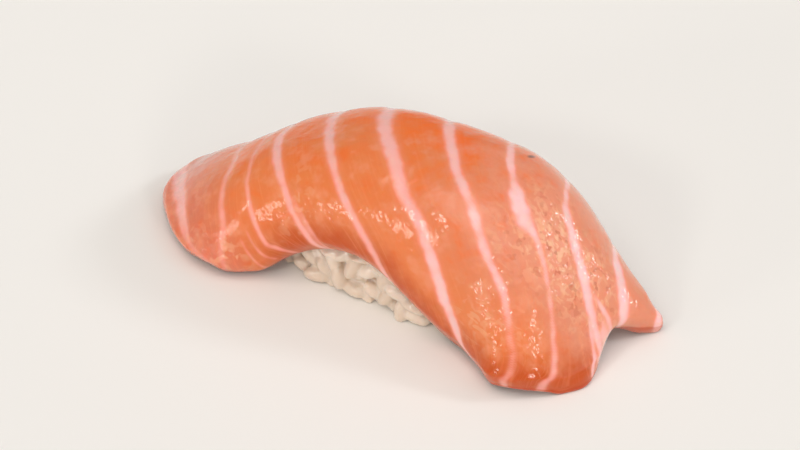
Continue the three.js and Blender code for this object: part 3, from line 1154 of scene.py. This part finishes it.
@dataclass
class RicePad:
    """The pressed rice: a soft-cornered loaf of cooked grains, held just under the slice.

    Candidates for grains are drawn over its skin, just below that, and on its foot. Margins keep the
    foot's grains inside the outline.
    """

    drape: Drape
    grain: RiceGrain = RiceGrain()
    name: str = "rice_grains"
    length: float = 49.5
    width: float = 27.0
    height: float = 22.4
    centre_y: float = -0.4
    plan_squareness: float = 3.6
    side_squareness: float = 3.4
    outline_samples: int = 1441
    highest_level: float = 0.999
    slope_step: float = 0.004
    gap: float = 0.4
    free_edge: tuple[float, float] = (-1.2, -0.1)
    press_rounds: int = 3
    core_inset: float = 1.2
    core_top: float = 0.985
    core_steps: tuple[int, int] = (96, 24)
    skin_candidates: int = 5200
    skin_top: float = 0.98
    skin_spacing: float = 2.8
    depth: float = 0.3
    under_depth: float = 1.6
    depth_spread: float = 0.4
    lowest_sink: float = 0.15
    foot_candidates: int = 2600
    foot_margin: float = 2.5
    foot_outline_margin: float = 2.0
    foot_height: float = 1.1
    foot_spacing: float = 3.1
    turn_spread: float = 1.2
    tilt_spread: float = 0.35
    fuse_voxel: float = 0.3
    fuse_smoothing: int = 3
    fuse_softness: float = 0.5
    axis_share: float = 0.6
    crease_shade: tuple[float, float] = (0.95, 1.35)
    batch: int = 4000
    seed: int = 11

    def cad_offset(self) -> np.ndarray:
        """Finds what brings the shaping frame onto the CAD model's: the pad's middle made the rice node's.

        Returns:
            The (3,) offset in millimetres.
        """
        low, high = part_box("rice")
        middle = (np.array(low) + np.array(high)) / 2 / MM
        return np.array([middle[0], middle[1] - self.centre_y, 0.0])

    def outline(self, around: np.ndarray) -> np.ndarray:
        """The pad's outline on the board: |x/a|^n + |y/b|^n = 1, read by share of its running length.

        Args:
            around: Shares of the way round.

        Returns:
            (..., 2) places about the pad's centre.
        """
        angle = np.linspace(0, 2 * math.pi, self.outline_samples)
        power = 2 / self.plan_squareness
        x = self.length / 2 * np.sign(np.cos(angle)) * np.abs(np.cos(angle)) ** power
        y = self.width / 2 * np.sign(np.sin(angle)) * np.abs(np.sin(angle)) ** power
        run = np.concatenate([[0], np.cumsum(np.hypot(np.diff(x), np.diff(y)))])
        share = np.mod(around, 1)
        return np.stack([np.interp(share, run / run[-1], x), np.interp(share, run / run[-1], y)], -1)

    def skin(self, around: np.ndarray, level: np.ndarray) -> np.ndarray:
        """Point of the pad's skin: the outline, shrunk by (1 - level^n)^(1/n), at a share of the height.

        Args:
            around: Shares of the way round.
            level: Shares of the height, 0 at the board.

        Returns:
            (..., 3) points.
        """
        shrink = (1 - np.clip(level, 0, 1) ** self.side_squareness) ** (1 / self.side_squareness)
        place = self.outline(around) * shrink[..., None] + np.array([0, self.centre_y])
        return np.concatenate([place, (self.height * level)[..., None]], -1)

    def directions(self, around: np.ndarray,
                   level: np.ndarray) -> tuple[np.ndarray, np.ndarray, np.ndarray]:
        """Directions along, up and straight out of the skin, from small steps on it.

        Args:
            around: Shares of the way round.
            level: Shares of the height.

        Returns:
            Three (..., 3) arrays of unit vectors.
        """
        step = self.slope_step
        along = self.skin(around + step, level) - self.skin(around - step, level)
        higher = np.minimum(level + step, self.highest_level)
        upward = self.skin(around, higher) - self.skin(around, level - step)
        along /= np.linalg.norm(along, axis=-1, keepdims=True)
        out = np.cross(along, upward)
        out /= np.linalg.norm(out, axis=-1, keepdims=True)
        return along, np.cross(out, along), out

    def keep_clear(self, points: np.ndarray) -> np.ndarray:
        """Presses points in where they would reach the slice, and flattens them where they meet the board.

        A point above the edge of the slice is moved down the drape's normal by the amount that it lies
        nearer than the gap. The push fades out just below the edge, where rice may stand free.

        Args:
            points: (..., 3) points of rice.

        Returns:
            The moved points.
        """
        p = points.copy()
        for _ in range(self.press_rounds):
            x, y, z = np.moveaxis(p, -1, 0)
            normal = self.drape.normal(x, y)
            over = (z - self.drape.height(x, y)) * normal[..., 2] + self.gap
            _, middle, _, _ = self.drape.section(x, y)
            edge = np.where(y < middle, self.drape.front_edge.height(x), self.drape.back_edge.height(x))
            covered = smoothstep(z - edge, *self.free_edge)
            p -= normal * (np.maximum(over, 0) * covered)[..., None]
        p[..., 2] = np.maximum(p[..., 2], 0.0)
        return p

    def core(self) -> tuple[np.ndarray, np.ndarray, np.ndarray]:
        """Shapes the plain core that fills the pad behind the grains.

        Rings of the skin from the board to the top are pulled in by the inset, and both ends are closed
        with a fan to a middle point.

        Returns:
            Points, quads and triangles.
        """
        sides, rings = self.core_steps
        level = np.sin(np.linspace(0, 1, rings) * math.pi / 2) * self.core_top
        around = np.arange(sides) / sides
        height, way = np.meshgrid(level, around, indexing="ij")
        middle = np.array([0, self.centre_y, 0])
        shrink = 1 - self.core_inset / np.array([self.length / 2, self.width / 2, self.height])
        points = self.keep_clear((self.skin(way, height) - middle) * shrink + middle)
        ends = np.stack([points[0].mean(0), points[-1].mean(0)])
        return np.concatenate([points.reshape(-1, 3), ends]), *closed_tube(rings, sides)

    def foot_places(self, random: np.random.Generator) -> tuple[np.ndarray, ...]:
        """Draws places for grains on the board, evenly inside the outline less its margin.

        Args:
            random: Source of the draws.

        Returns:
            Centres, and the along, up and out directions at each.
        """
        half = np.array([self.length, self.width]) / 2
        spot = random.uniform(-1, 1, (self.foot_candidates, 2)) * (half - self.foot_margin)
        reach = np.abs(spot / (half - self.foot_outline_margin)) ** self.plan_squareness
        spot = spot[reach.sum(-1) < 1]
        centre = np.column_stack([spot + [0, self.centre_y], np.full(len(spot), self.foot_height)])
        along, upward, out = (
            np.tile(way, (len(centre), 1)) for way in ([1.0, 0, 0], [0, 1.0, 0], [0, 0, -1.0]))
        return centre, along, upward, out

    def skin_places(self, depth: float, random: np.random.Generator) -> tuple[np.ndarray, ...]:
        """Draws places for grains at about a depth under the skin, evenly by way round and height.

        Args:
            depth: Millimetres under the skin.
            random: Source of the draws.

        Returns:
            Centres, and the along, up and out directions at each.
        """
        around, level = random.uniform(0, 1, (2, self.skin_candidates))
        level = level * self.skin_top
        deep = depth + self.depth_spread * random.uniform(-1, 1, len(around))
        along, upward, out = self.directions(around, level)
        centre = self.skin(around, level) - out * deep[:, None]
        centre[:, 2] = np.maximum(centre[:, 2], self.grain.thickness / 2 - self.lowest_sink)
        return centre, along, upward, out

    def scatter(self, layer: RiceLayer, random: np.random.Generator) -> tuple[np.ndarray, ...]:
        """Spreads grain centres over a layer: a drawn place is kept if no earlier one lies within the
        spacing.

        Args:
            layer: Which layer of grains.
            random: Source of the draws.

        Returns:
            Centres, and the along, up and out directions at each.
        """
        if layer is RiceLayer.FOOT:
            places, spacing = self.foot_places(random), self.foot_spacing
        else:
            depth = self.depth if layer is RiceLayer.SKIN else self.under_depth
            places, spacing = self.skin_places(depth, random), self.skin_spacing
        centre = places[0]
        kept: list[int] = []
        for k in range(len(centre)):
            if not kept or np.min(np.linalg.norm(centre[kept] - centre[k], axis=1)) > spacing:
                kept.append(k)
        return tuple(values[kept] for values in places)

    def place_grains(self) -> tuple[np.ndarray, np.ndarray, np.ndarray]:
        """Places every grain: it lies in the skin, turned at random from level and tilted a little in or
        out.

        Returns:
            (n, k, 3) points of the grains, pressed clear of the slice and the board, with the (n, 3)
            middles and (n, 3) half axes.
        """
        random = np.random.default_rng(self.seed)
        layers = [self.scatter(layer, random) for layer in RiceLayer]
        centre, along, upward, out = (np.concatenate(items) for items in zip(*layers))
        turn = random.normal(0, self.turn_spread, len(centre))[:, None]
        tilt = random.uniform(-1, 1, len(centre))[:, None] * self.tilt_spread
        axis = np.cos(turn) * along + np.sin(turn) * upward + tilt * out
        axis /= np.linalg.norm(axis, axis=1, keepdims=True)
        points, half_axis = self.grain.shapes(centre, axis, out, random)
        return self.keep_clear(points), centre, half_axis

    def tints(self, points: np.ndarray, centre: np.ndarray, half_axis: np.ndarray) -> dict[str, np.ndarray]:
        """Finds the grain whose axis is nearest to each point, and how far the point lies outside it.

        Distances are taken to the inner part of an axis, so that a grain's tips count as outside sooner.

        Args:
            points: (n, 3) points of the fused rice.
            centre: Middles of the grains.
            half_axis: Their half axes.

        Returns:
            "tint", the grain's own random number from 0 to 1, and "crease", which rises from 0 on a grain
            to 1 in the gaps between grains.
        """
        shade = np.random.default_rng(self.seed + 1).uniform(0, 1, len(centre))
        squared = (half_axis**2).sum(-1)
        nearest, gaps = [], []
        for part in np.array_split(points, max(1, len(points) // self.batch)):
            offset = part[:, None] - centre[None]
            share = np.clip((offset * half_axis[None]).sum(-1) / squared, -self.axis_share, self.axis_share)
            gap = np.linalg.norm(offset - share[..., None] * half_axis[None], axis=-1)
            nearest.append(gap.argmin(1))
            gaps.append(gap.min(1))
        outside = np.concatenate(gaps) / (self.grain.thickness / 2)
        return {"tint": shade[np.concatenate(nearest)], "crease_shade": smoothstep(outside, *self.crease_shade)}

    def build(self, offset: np.ndarray) -> bpy.types.Object:
        """Builds the rice: grains and core joined, and fused where they touch, as sticky rice is.

        Voxels the size of fuse_voxel join the closed shapes into one skin, and a few rounds of smoothing
        soften the creases between grains.

        Args:
            offset: The shaping frame's place in the CAD frame.

        Returns:
            The rice.
        """
        grains, centre, half_axis = self.place_grains()
        template, quads, tips = self.grain.template()
        first = np.arange(len(grains))[:, None, None] * len(template)
        core, core_quads, core_fans = self.core()
        start = grains.shape[0] * grains.shape[1]
        loose = mesh_object(
            "loose_grains", np.concatenate([grains.reshape(-1, 3), core]),
            np.concatenate([(quads[None] + first).reshape(-1, 4), core_quads + start]), offset, {},
            np.concatenate([(tips[None] + first).reshape(-1, 3), core_fans + start]))
        LOG.info("%d grains", len(grains))
        fuse = loose.modifiers.new("fuse", "REMESH")
        fuse.mode = "VOXEL"
        fuse.voxel_size = self.fuse_voxel * MM
        relax = loose.modifiers.new("relax", "SMOOTH")
        relax.factor = self.fuse_softness
        relax.iterations = self.fuse_smoothing
        graph = bpy.context.evaluated_depsgraph_get()
        fused = loose.evaluated_get(graph).to_mesh()
        points = np.empty(len(fused.vertices) * 3, np.float32)
        fused.vertices.foreach_get("co", points)
        faces = np.empty(len(fused.loops), np.int32)
        fused.loops.foreach_get("vertex_index", faces)
        bpy.data.objects.remove(loose)
        points, faces = largest_shell(points.reshape(-1, 3) / MM - offset, faces.reshape(-1, 4))
        points[:, 2] = np.maximum(points[:, 2], 0.0)
        return mesh_object(self.name, points, faces, offset, self.tints(points, centre, half_axis))

    def dress(self, piece: bpy.types.Object, finish: "CookedRice") -> None:
        """Gives the rice its material and its place in the frame."""
        piece.data.materials.append(finish.material())
        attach(piece, "root")
        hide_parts("rice")


# ---------------------------------------------------------------- finishes


@dataclass(frozen=True)
class SalmonFlesh:
    """Raw Atlantic salmon, cut across the blocks of muscle with a wet knife.

    Light sinks some millimetres into it, red furthest, and a thin wet film over it gives sharp glints
    where the knife left the surface rough, and a broad pale sheen where it is smooth. Its colour also
    holds painted light: sheen and glints where the cut is rough, light down the front slope, and shade
    on the cut wall, the low front rim and in the pits.
    """

    name: str = "raw_salmon_knife_cut"
    deep: str = "#f26a0c"
    # paler flesh down the front: partly its own tone, partly painted light and sheen
    light: str = "#e6834c"
    pink: str = "#e29274"
    tail: str = "#d97a62"
    # pale mottles of the flesh, and painted sheen on the rough right end
    cloud: str = "#f0a582"
    # painted shade: deeper, darker orange near the low front rim
    edge: str = "#c24c02"
    # painted glints: cream ridges and specks where the cut is rough
    torn: str = "#f4c29c"
    # painted shade in small pits
    pit_shade: str = "#b65028"
    # darker cut wall: partly deeper flesh, partly painted shade
    wall: str = "#bd4409"
    fat: str = "#ffaca0"
    fat_core: str = "#ffcfcd"
    halo: str = "#f0997c"
    streak: str = "#f09666"
    fleck: str = "#6a3322"
    patch_mm: float = 9.0
    cloud_mm: float = 3.6
    border_mm: float = 3.0
    ripple_mm: float = 2.4
    fibre_mm: tuple[float, float] = (0.6, 7.0)
    ridge_mm: tuple[float, float, float] = (3.2, 1.4, 1.4)
    ridge_turn: float = -22.0
    grain_mm: float = 1.5
    speck_mm: float = 2.1
    noise_roughness: float = 0.55
    ripple_depth_mm: float = 0.5
    fibre_depth_mm: float = 0.15
    ridge_depth_mm: float = 0.4
    grain_depth_mm: float = 0.45
    light_depth_mm: float = 1.7

    def fields(self, tree: bpy.types.NodeTree) -> dict[str, bpy.types.NodeSocket]:
        """Reads what SalmonSlice.build wrote at each point of the slice.

        Args:
            tree: The material's tree.

        Returns:
            A socket for each attribute.
        """
        names = ("fat_mm", "fat_strength", "band", "glisten", "along", "across", "across_mm", "fleck",
                 "rim_mm", "wall")
        return {name: add_node(tree, "ShaderNodeAttribute", attribute_name=name).outputs["Fac"]
                for name in names}

    def patterns(self, tree: bpy.types.NodeTree,
                 at: dict[str, bpy.types.NodeSocket]) -> dict[str, bpy.types.Node]:
        """Adds the noise patterns. Fibres run beside the fat lines, in the bands' own coordinates, and torn
        ridges lie across them. The fibres and the grain are finer on real flesh, and are drawn coarse
        enough to show.

        Args:
            tree: The material's tree.
            at: The slice's attributes.

        Returns:
            A node for each pattern.
        """
        place = add_node(tree, "ShaderNodeTexCoord").outputs["Object"]
        in_band = add_node(tree, "ShaderNodeCombineXYZ", {0: at["band"], 1: at["across_mm"]})
        beside = add_node(tree, "ShaderNodeMapping", {"Vector": in_band, "Scale": (*self.fibre_mm, 1.0)},
                          vector_type="TEXTURE")
        turned = add_node(tree, "ShaderNodeMapping", {
            "Vector": place, "Rotation": (0.0, 0.0, math.radians(self.ridge_turn)),
            "Scale": tuple(size * MM for size in self.ridge_mm)}, vector_type="TEXTURE")
        rows = {  # coordinates, scale, detail and distortion
            "patch": (place, 1 / (self.patch_mm * MM), 3.0, 0.0),
            "cloud": (place, 1 / (self.cloud_mm * MM), 2.5, 0.0),
            "border": (place, 1 / (self.border_mm * MM), 1.5, 0.0),
            "ripple": (place, 1 / (self.ripple_mm * MM), 2.0, 0.0),
            "grain": (place, 1 / (self.grain_mm * MM), 1.5, 0.0),
            "speck": (place, 1 / (self.speck_mm * MM), 1.0, 0.6),
            "fibre": (beside, 1.0, 2.5, 0.0),
            "ridge": (turned, 1.0, 1.5, 0.8),
        }
        return {
            name: add_node(tree, "ShaderNodeTexNoise", {
                "Vector": vector, "Scale": scale, "Detail": detail, "Roughness": self.noise_roughness,
                "Distortion": distortion})
            for name, (vector, scale, detail, distortion) in rows.items()}

    def colour(self, tree: bpy.types.NodeTree, at: dict[str, bpy.types.NodeSocket],
               noise: dict[str, bpy.types.Node]) -> bpy.types.Node:
        """Lays the colours of the flesh, of its torn patches and of the fat, with painted sheen, glints and
        shade among them.

        Args:
            tree: The material's tree.
            at: The slice's attributes.
            noise: The patterns.

        Returns:
            The node that gives the colour.
        """
        along, across, glisten = at["along"], at["across"], at["glisten"]
        at_right, off_tail, whiter, upper, crown, in_front, on_wall = (
            add_node(tree, "ShaderNodeMapRange", {
                "Value": value, "From Min": low, "From Max": high, "To Min": least,
            }, interpolation_type="SMOOTHSTEP")
            for value, low, high, least in (
                (along, 0.35, 0.7, 0.0), (along, 0.08, 0.25, 0.0), (along, 0.5, 0.76, 0.3),
                (across, 0.2, 0.45, 0.0), (across, 0.85, 0.35, 0.15), (across, 0.6, 0.4, 0.0),
                (at["wall"], 1.4, 0.4, 0.0)))
        torn = add_node(tree, "ShaderNodeMath", {0: at_right, 1: glisten}, operation="MULTIPLY")
        whole = add_node(tree, "ShaderNodeMapRange", {"Value": torn, "From Min": 0.6, "From Max": 0.1},
                         interpolation_type="SMOOTHSTEP")
        pitted, plain_cut, low_rim_shade_mask, shows = (
            add_node(tree, "ShaderNodeMath", {0: one, 1: other}, operation="MULTIPLY")
            for one, other in (
                (torn, upper), (crown, whole), (off_tail, in_front), (at["fat_strength"], on_wall)))
        whitest = add_node(tree, "ShaderNodeMath", {0: shows, 1: whiter}, operation="MULTIPLY")
        from_front, from_left, from_rim, waver = (
            add_node(tree, "ShaderNodeMath", {0: pattern, 1: share, 2: start}, operation="MULTIPLY_ADD")
            for pattern, share, start in (
                (noise["patch"], 0.7, across), (noise["cloud"], 0.4, along),
                (noise["cloud"], 5.0, at["rim_mm"]), (noise["border"], 0.7, -0.35)))
        from_line = add_node(tree, "ShaderNodeMath", {0: at["fat_mm"], 1: waver}, operation="ADD")
        return lay_colours(tree, self.deep, (
            # The flesh is deep orange on the crown. Down the front it is paler, partly its own tone and
            # partly painted light and sheen on the slope that faces the lamps, and to the right it is
            # pinker.
            ColourLayer(self.light, from_front, 1.15, 0.7),
            ColourLayer(self.pink, from_left, 0.68, 1.0, 0.95, upper),
            ColourLayer(self.tail, along, 0.17, 0.05, 0.8),
            ColourLayer(self.cloud, noise["cloud"], 0.5, 0.72, 0.4, crown),
            ColourLayer(self.deep, noise["cloud"], 0.46, 0.26, 0.25),
            # Painted shade: deeper, darker orange near the rim of the low front lobe, which faces away from
            # the lamps.
            ColourLayer(self.edge, from_rim, 11.0, 4.5, 0.9, low_rim_shade_mask),
            # Where the knife tore it, paler ridges and dark pits stand a millimetre apart. The pale ridges
            # and specks are painted glints, and the dark pits painted shade.
            # Painted sheen: the rough right end is drawn paler.
            ColourLayer(self.cloud, glisten, 0.2, 0.9, 0.3, at_right),
            ColourLayer(self.torn, noise["ridge"], 0.52, 0.62, 0.65, torn),
            ColourLayer(self.torn, noise["speck"], 0.52, 0.66, 0.5, glisten),
            ColourLayer(self.pit_shade, noise["grain"], 0.42, 0.34, 0.55, pitted),
            ColourLayer(self.streak, noise["fibre"], 0.48, 0.74, 0.25, plain_cut),
            # The cut wall and underside are darker: partly the thick flesh's own deeper orange, partly
            # painted shade.
            ColourLayer(self.wall, at["wall"], 0.0, 1.0, 0.8),
            # Fat has a soft edge that wavers, a pale halo beside it and its whitest part in the middle.
            ColourLayer(self.halo, from_line, 2.2, 0.6, 0.5, shows),
            ColourLayer(self.fat, from_line, 1.4, 0.65, 1.0, shows),
            ColourLayer(self.fat_core, from_line, 1.15, 0.6, 0.85, whitest),
            ColourLayer(self.fleck, at["fleck"], 0.15, 0.8, 0.85),
        ))

    def film(self, tree: bpy.types.NodeTree, at: dict[str, bpy.types.NodeSocket],
             noise: dict[str, bpy.types.Node]) -> tuple[bpy.types.Node, bpy.types.Node]:
        """Adds relief finer than the mesh. The flesh shows its ripples and fibres, and the wet film over it
        the ripples, the torn ridges and the grain.

        Args:
            tree: The material's tree.
            at: The slice's attributes.
            noise: The patterns.

        Returns:
            The flesh's normal and the film's.
        """
        moist = add_node(tree, "ShaderNodeMath", {0: at["glisten"], 1: 0.85, 2: 0.12},
                         operation="MULTIPLY_ADD")
        rippled = add_node(tree, "ShaderNodeBump", {
            "Height": noise["ripple"], "Strength": 0.4, "Distance": self.ripple_depth_mm * MM})
        streaked = add_node(tree, "ShaderNodeBump", {
            "Height": noise["fibre"], "Strength": 0.15, "Distance": self.fibre_depth_mm * MM,
            "Normal": rippled})
        ridged = add_node(tree, "ShaderNodeBump", {
            "Height": noise["ridge"], "Strength": at["glisten"], "Distance": self.ridge_depth_mm * MM,
            "Normal": rippled})
        film = add_node(tree, "ShaderNodeBump", {
            "Height": noise["grain"], "Strength": moist, "Distance": self.grain_depth_mm * MM,
            "Normal": ridged})
        return streaked, film

    def material(self) -> bpy.types.Material:
        """Builds the material.

        Returns:
            The salmon's material.
        """
        material, tree = new_material(self.name)
        at = self.fields(tree)
        noise = self.patterns(tree, at)
        streaked, film = self.film(tree, at, noise)
        shader = add_node(tree, "ShaderNodeBsdfPrincipled", {
            "Base Color": self.colour(tree, at, noise), "Roughness": 0.38, "Normal": streaked, "IOR": 1.40,
            "Specular IOR Level": 0.15, "Subsurface Weight": 0.85, "Subsurface Radius": (1.0, 0.30, 0.17),
            "Subsurface Scale": self.light_depth_mm * MM, "Coat Weight": 1.0, "Coat Roughness": 0.12,
            "Coat IOR": 1.33, "Coat Normal": film,
        })
        add_node(tree, "ShaderNodeOutputMaterial", {"Surface": shader})
        return material


@dataclass(frozen=True)
class CookedRice:
    """Short-grain white rice, steamed and dressed with vinegar, so its starch is glossy and part clear.

    Light passes through the thin tips and gathers in the middle, which softens every grain.
    """

    name: str = "steamed_short_grain_rice"
    core: str = "#e8d7c7"
    edge: str = "#d6c1ac"
    # painted shade in the creases between grains
    gap: str = "#b28c70"
    cloud_mm: float = 1.4
    skin_mm: float = 0.7
    skin_depth_mm: float = 0.3
    light_depth_mm: float = 0.7

    def material(self) -> bpy.types.Material:
        """Builds the material.

        Returns:
            The rice's material.
        """
        material, tree = new_material(self.name)
        place = add_node(tree, "ShaderNodeTexCoord").outputs["Object"]
        tint, crease_shade = (add_node(tree, "ShaderNodeAttribute", attribute_name=name).outputs["Fac"]
                        for name in ("tint", "crease_shade"))
        cloud, skin = (
            add_node(tree, "ShaderNodeTexNoise", {"Vector": place, "Scale": 1 / (size * MM), "Detail": 2.0})
            for size in (self.cloud_mm, self.skin_mm))
        blend = add_node(tree, "ShaderNodeMath", {0: cloud, 1: tint}, operation="ADD")
        colour = lay_colours(tree, self.core, (
            ColourLayer(self.edge, blend, 0.4, 1.5, 0.7),
            # Painted shade: darker in the creases between grains.
            ColourLayer(self.gap, crease_shade, 0.0, 1.0, 0.6),
        ))
        bump = add_node(tree, "ShaderNodeBump", {
            "Height": skin, "Strength": 0.18, "Distance": self.skin_depth_mm * MM})
        shader = add_node(tree, "ShaderNodeBsdfPrincipled", {
            "Base Color": colour, "Roughness": 0.34, "Normal": bump, "IOR": 1.42,
            "Subsurface Weight": 0.7, "Subsurface Radius": (1.0, 0.8, 0.6),
            "Subsurface Scale": self.light_depth_mm * MM, "Coat Weight": 0.6, "Coat Roughness": 0.15,
        })
        add_node(tree, "ShaderNodeOutputMaterial", {"Surface": shader})
        return material


@dataclass(frozen=True)
class PaleFloor:
    """A plain board with matt, off-white paint, which keeps shadows soft."""

    name: str = "matt_painted_board"
    colour: str = "#f0eeea"

    def material(self) -> bpy.types.Material:
        """Builds the material.

        Returns:
            The floor's material.
        """
        material, tree = new_material(self.name)
        shader = add_node(tree, "ShaderNodeBsdfPrincipled", {
            "Base Color": linear(self.colour), "Roughness": 0.75, "Specular IOR Level": 0.25})
        add_node(tree, "ShaderNodeOutputMaterial", {"Surface": shader})
        return material


# ---------------------------------------------------------------- the studio


def direction(azimuth: float, elevation: float) -> Vector:
    """Unit vector from the food towards a place at an azimuth and elevation in degrees."""
    a, e = math.radians(azimuth), math.radians(elevation)
    return Vector((math.sin(a) * math.cos(e), -math.cos(a) * math.cos(e), math.sin(e)))


@dataclass(frozen=True)
class SoftLight:
    """A distant light, equally bright all over the floor.

    azimuth is in degrees round from the front and elevation in degrees above the floor. width is the
    degrees that it measures across, as the food sees it, and strength the watts on a square metre that
    faces it.
    """

    name: str
    azimuth: float
    elevation: float
    width: float
    strength: float
    colour: str = "#fffaf4"

    def hang(self) -> bpy.types.Object:
        """Hangs the light.

        Returns:
            The light.
        """
        light = bpy.data.lights.new(self.name, "SUN")
        light.angle = math.radians(self.width)
        light.energy = self.strength
        light.color = linear(self.colour)[:3]
        lamp = bpy.data.objects.new(self.name, light)
        towards = direction(self.azimuth, self.elevation)
        lamp.rotation_euler = towards.to_track_quat("Z", "Y").to_euler()
        bpy.context.scene.collection.objects.link(lamp)
        return lamp


@dataclass
class Studio:
    """Floor, light and camera. None of it is part of the nigiri.

    Four of the lights are wide and soft. The other four are small, and give the wet glints.
    """

    floor_size: float = 60.0
    floor_drop_mm: float = 0.05
    surround_colour: str = "#f6f5f2"
    horizon_strength: float = 0.72
    zenith_strength: float = 0.22
    horizon_band: float = 0.2
    lights: tuple[SoftLight, ...] = (
        SoftLight("key", 0, 70, 50, 1.2),
        SoftLight("key_glint", -14, 34, 9, 0.38),
        SoftLight("low_glint", -24, 9, 12, 0.42),
        SoftLight("front", 38, 36, 50, 0.25),
        SoftLight("front_glint", 60, 24, 9, 0.35),
        SoftLight("side", 108, 42, 50, 0.45, "#fbfbff"),
        SoftLight("side_glint", 124, 30, 9, 0.6, "#fbfbff"),
        SoftLight("back", 215, 45, 120, 0.36, "#fbfbff"),
    )
    azimuth: float = 32.0
    elevation: float = 41.7
    distance: float = 0.64
    lens: float = 166.0
    nearest: float = 0.01
    aim: tuple[float, float, float] = (0.0, 0.0, 0.0105)

    def lay_floor(self, finish: PaleFloor) -> bpy.types.Object:
        """Lays the floor, just far enough under the food not to flicker through it.

        Args:
            finish: The floor's finish.

        Returns:
            The floor.
        """
        half = self.floor_size / 2 / MM
        corners = np.array([[-half, -half, 0], [half, -half, 0], [half, half, 0], [-half, half, 0]])
        drop = np.array([0, 0, -self.floor_drop_mm])
        floor = mesh_object("floor", corners, np.array([[0, 1, 2, 3]]), drop, {})
        floor.data.materials.append(finish.material())
        return floor

    def light(self) -> None:
        """Hangs the lights in a pale surround, whose strength falls from the horizon upwards."""
        world = bpy.data.worlds.new("surround")
        world.use_nodes = True
        tree = world.node_tree
        background = tree.nodes["Background"]
        background.inputs["Color"].default_value = linear(self.surround_colour)
        towards = add_node(tree, "ShaderNodeTexCoord").outputs["Generated"]
        parts = add_node(tree, "ShaderNodeSeparateXYZ", {0: towards})
        strength = add_node(tree, "ShaderNodeMapRange", {
            "Value": parts.outputs["Z"], "From Min": 0.0, "From Max": self.horizon_band,
            "To Min": self.horizon_strength, "To Max": self.zenith_strength,
        }, interpolation_type="SMOOTHSTEP")
        tree.links.new(strength.outputs["Result"], background.inputs["Strength"])
        bpy.context.scene.world = world
        for light in self.lights:
            light.hang()

    def aim_camera(self) -> bpy.types.Object:
        """Aims the camera at the middle of the nigiri, from in front, above and a little to the right.

        Returns:
            The camera.
        """
        data = bpy.data.cameras.new("camera")
        data.lens = self.lens
        data.clip_start = self.nearest
        camera = bpy.data.objects.new("camera", data)
        towards = direction(self.azimuth, self.elevation)
        camera.location = Vector(self.aim) + towards * self.distance
        camera.rotation_euler = towards.to_track_quat("Z", "Y").to_euler()
        bpy.context.scene.collection.objects.link(camera)
        bpy.context.scene.camera = camera
        return camera


def report(piece: bpy.types.Object) -> None:
    """Logs a piece's name, size and number of faces."""
    corners = np.array([corner[:] for corner in piece.bound_box]) / MM
    size = corners.max(0) - corners.min(0)
    LOG.info("%s: %.1f x %.1f x %.1f mm, %d faces", piece.name, *size, len(piece.data.polygons))


def main() -> None:
    """Builds the salmon, the rice and the studio in order."""
    logging.basicConfig(level=logging.INFO, format="%(message)s")
    drape = Drape()
    salmon, rice = SalmonSlice(drape), RicePad(drape)
    offset = rice.cad_offset()
    LOG.info("offset to the CAD frame: %s mm", np.round(offset, 3))
    piece = salmon.build(offset)
    salmon.dress(piece, SalmonFlesh())
    report(piece)
    piece = rice.build(offset)
    rice.dress(piece, CookedRice())
    report(piece)
    studio = Studio()
    studio.lay_floor(PaleFloor())
    studio.light()
    studio.aim_camera()
    bpy.context.scene.view_settings.view_transform = "Standard"


if __name__ == "__main__":
    main()
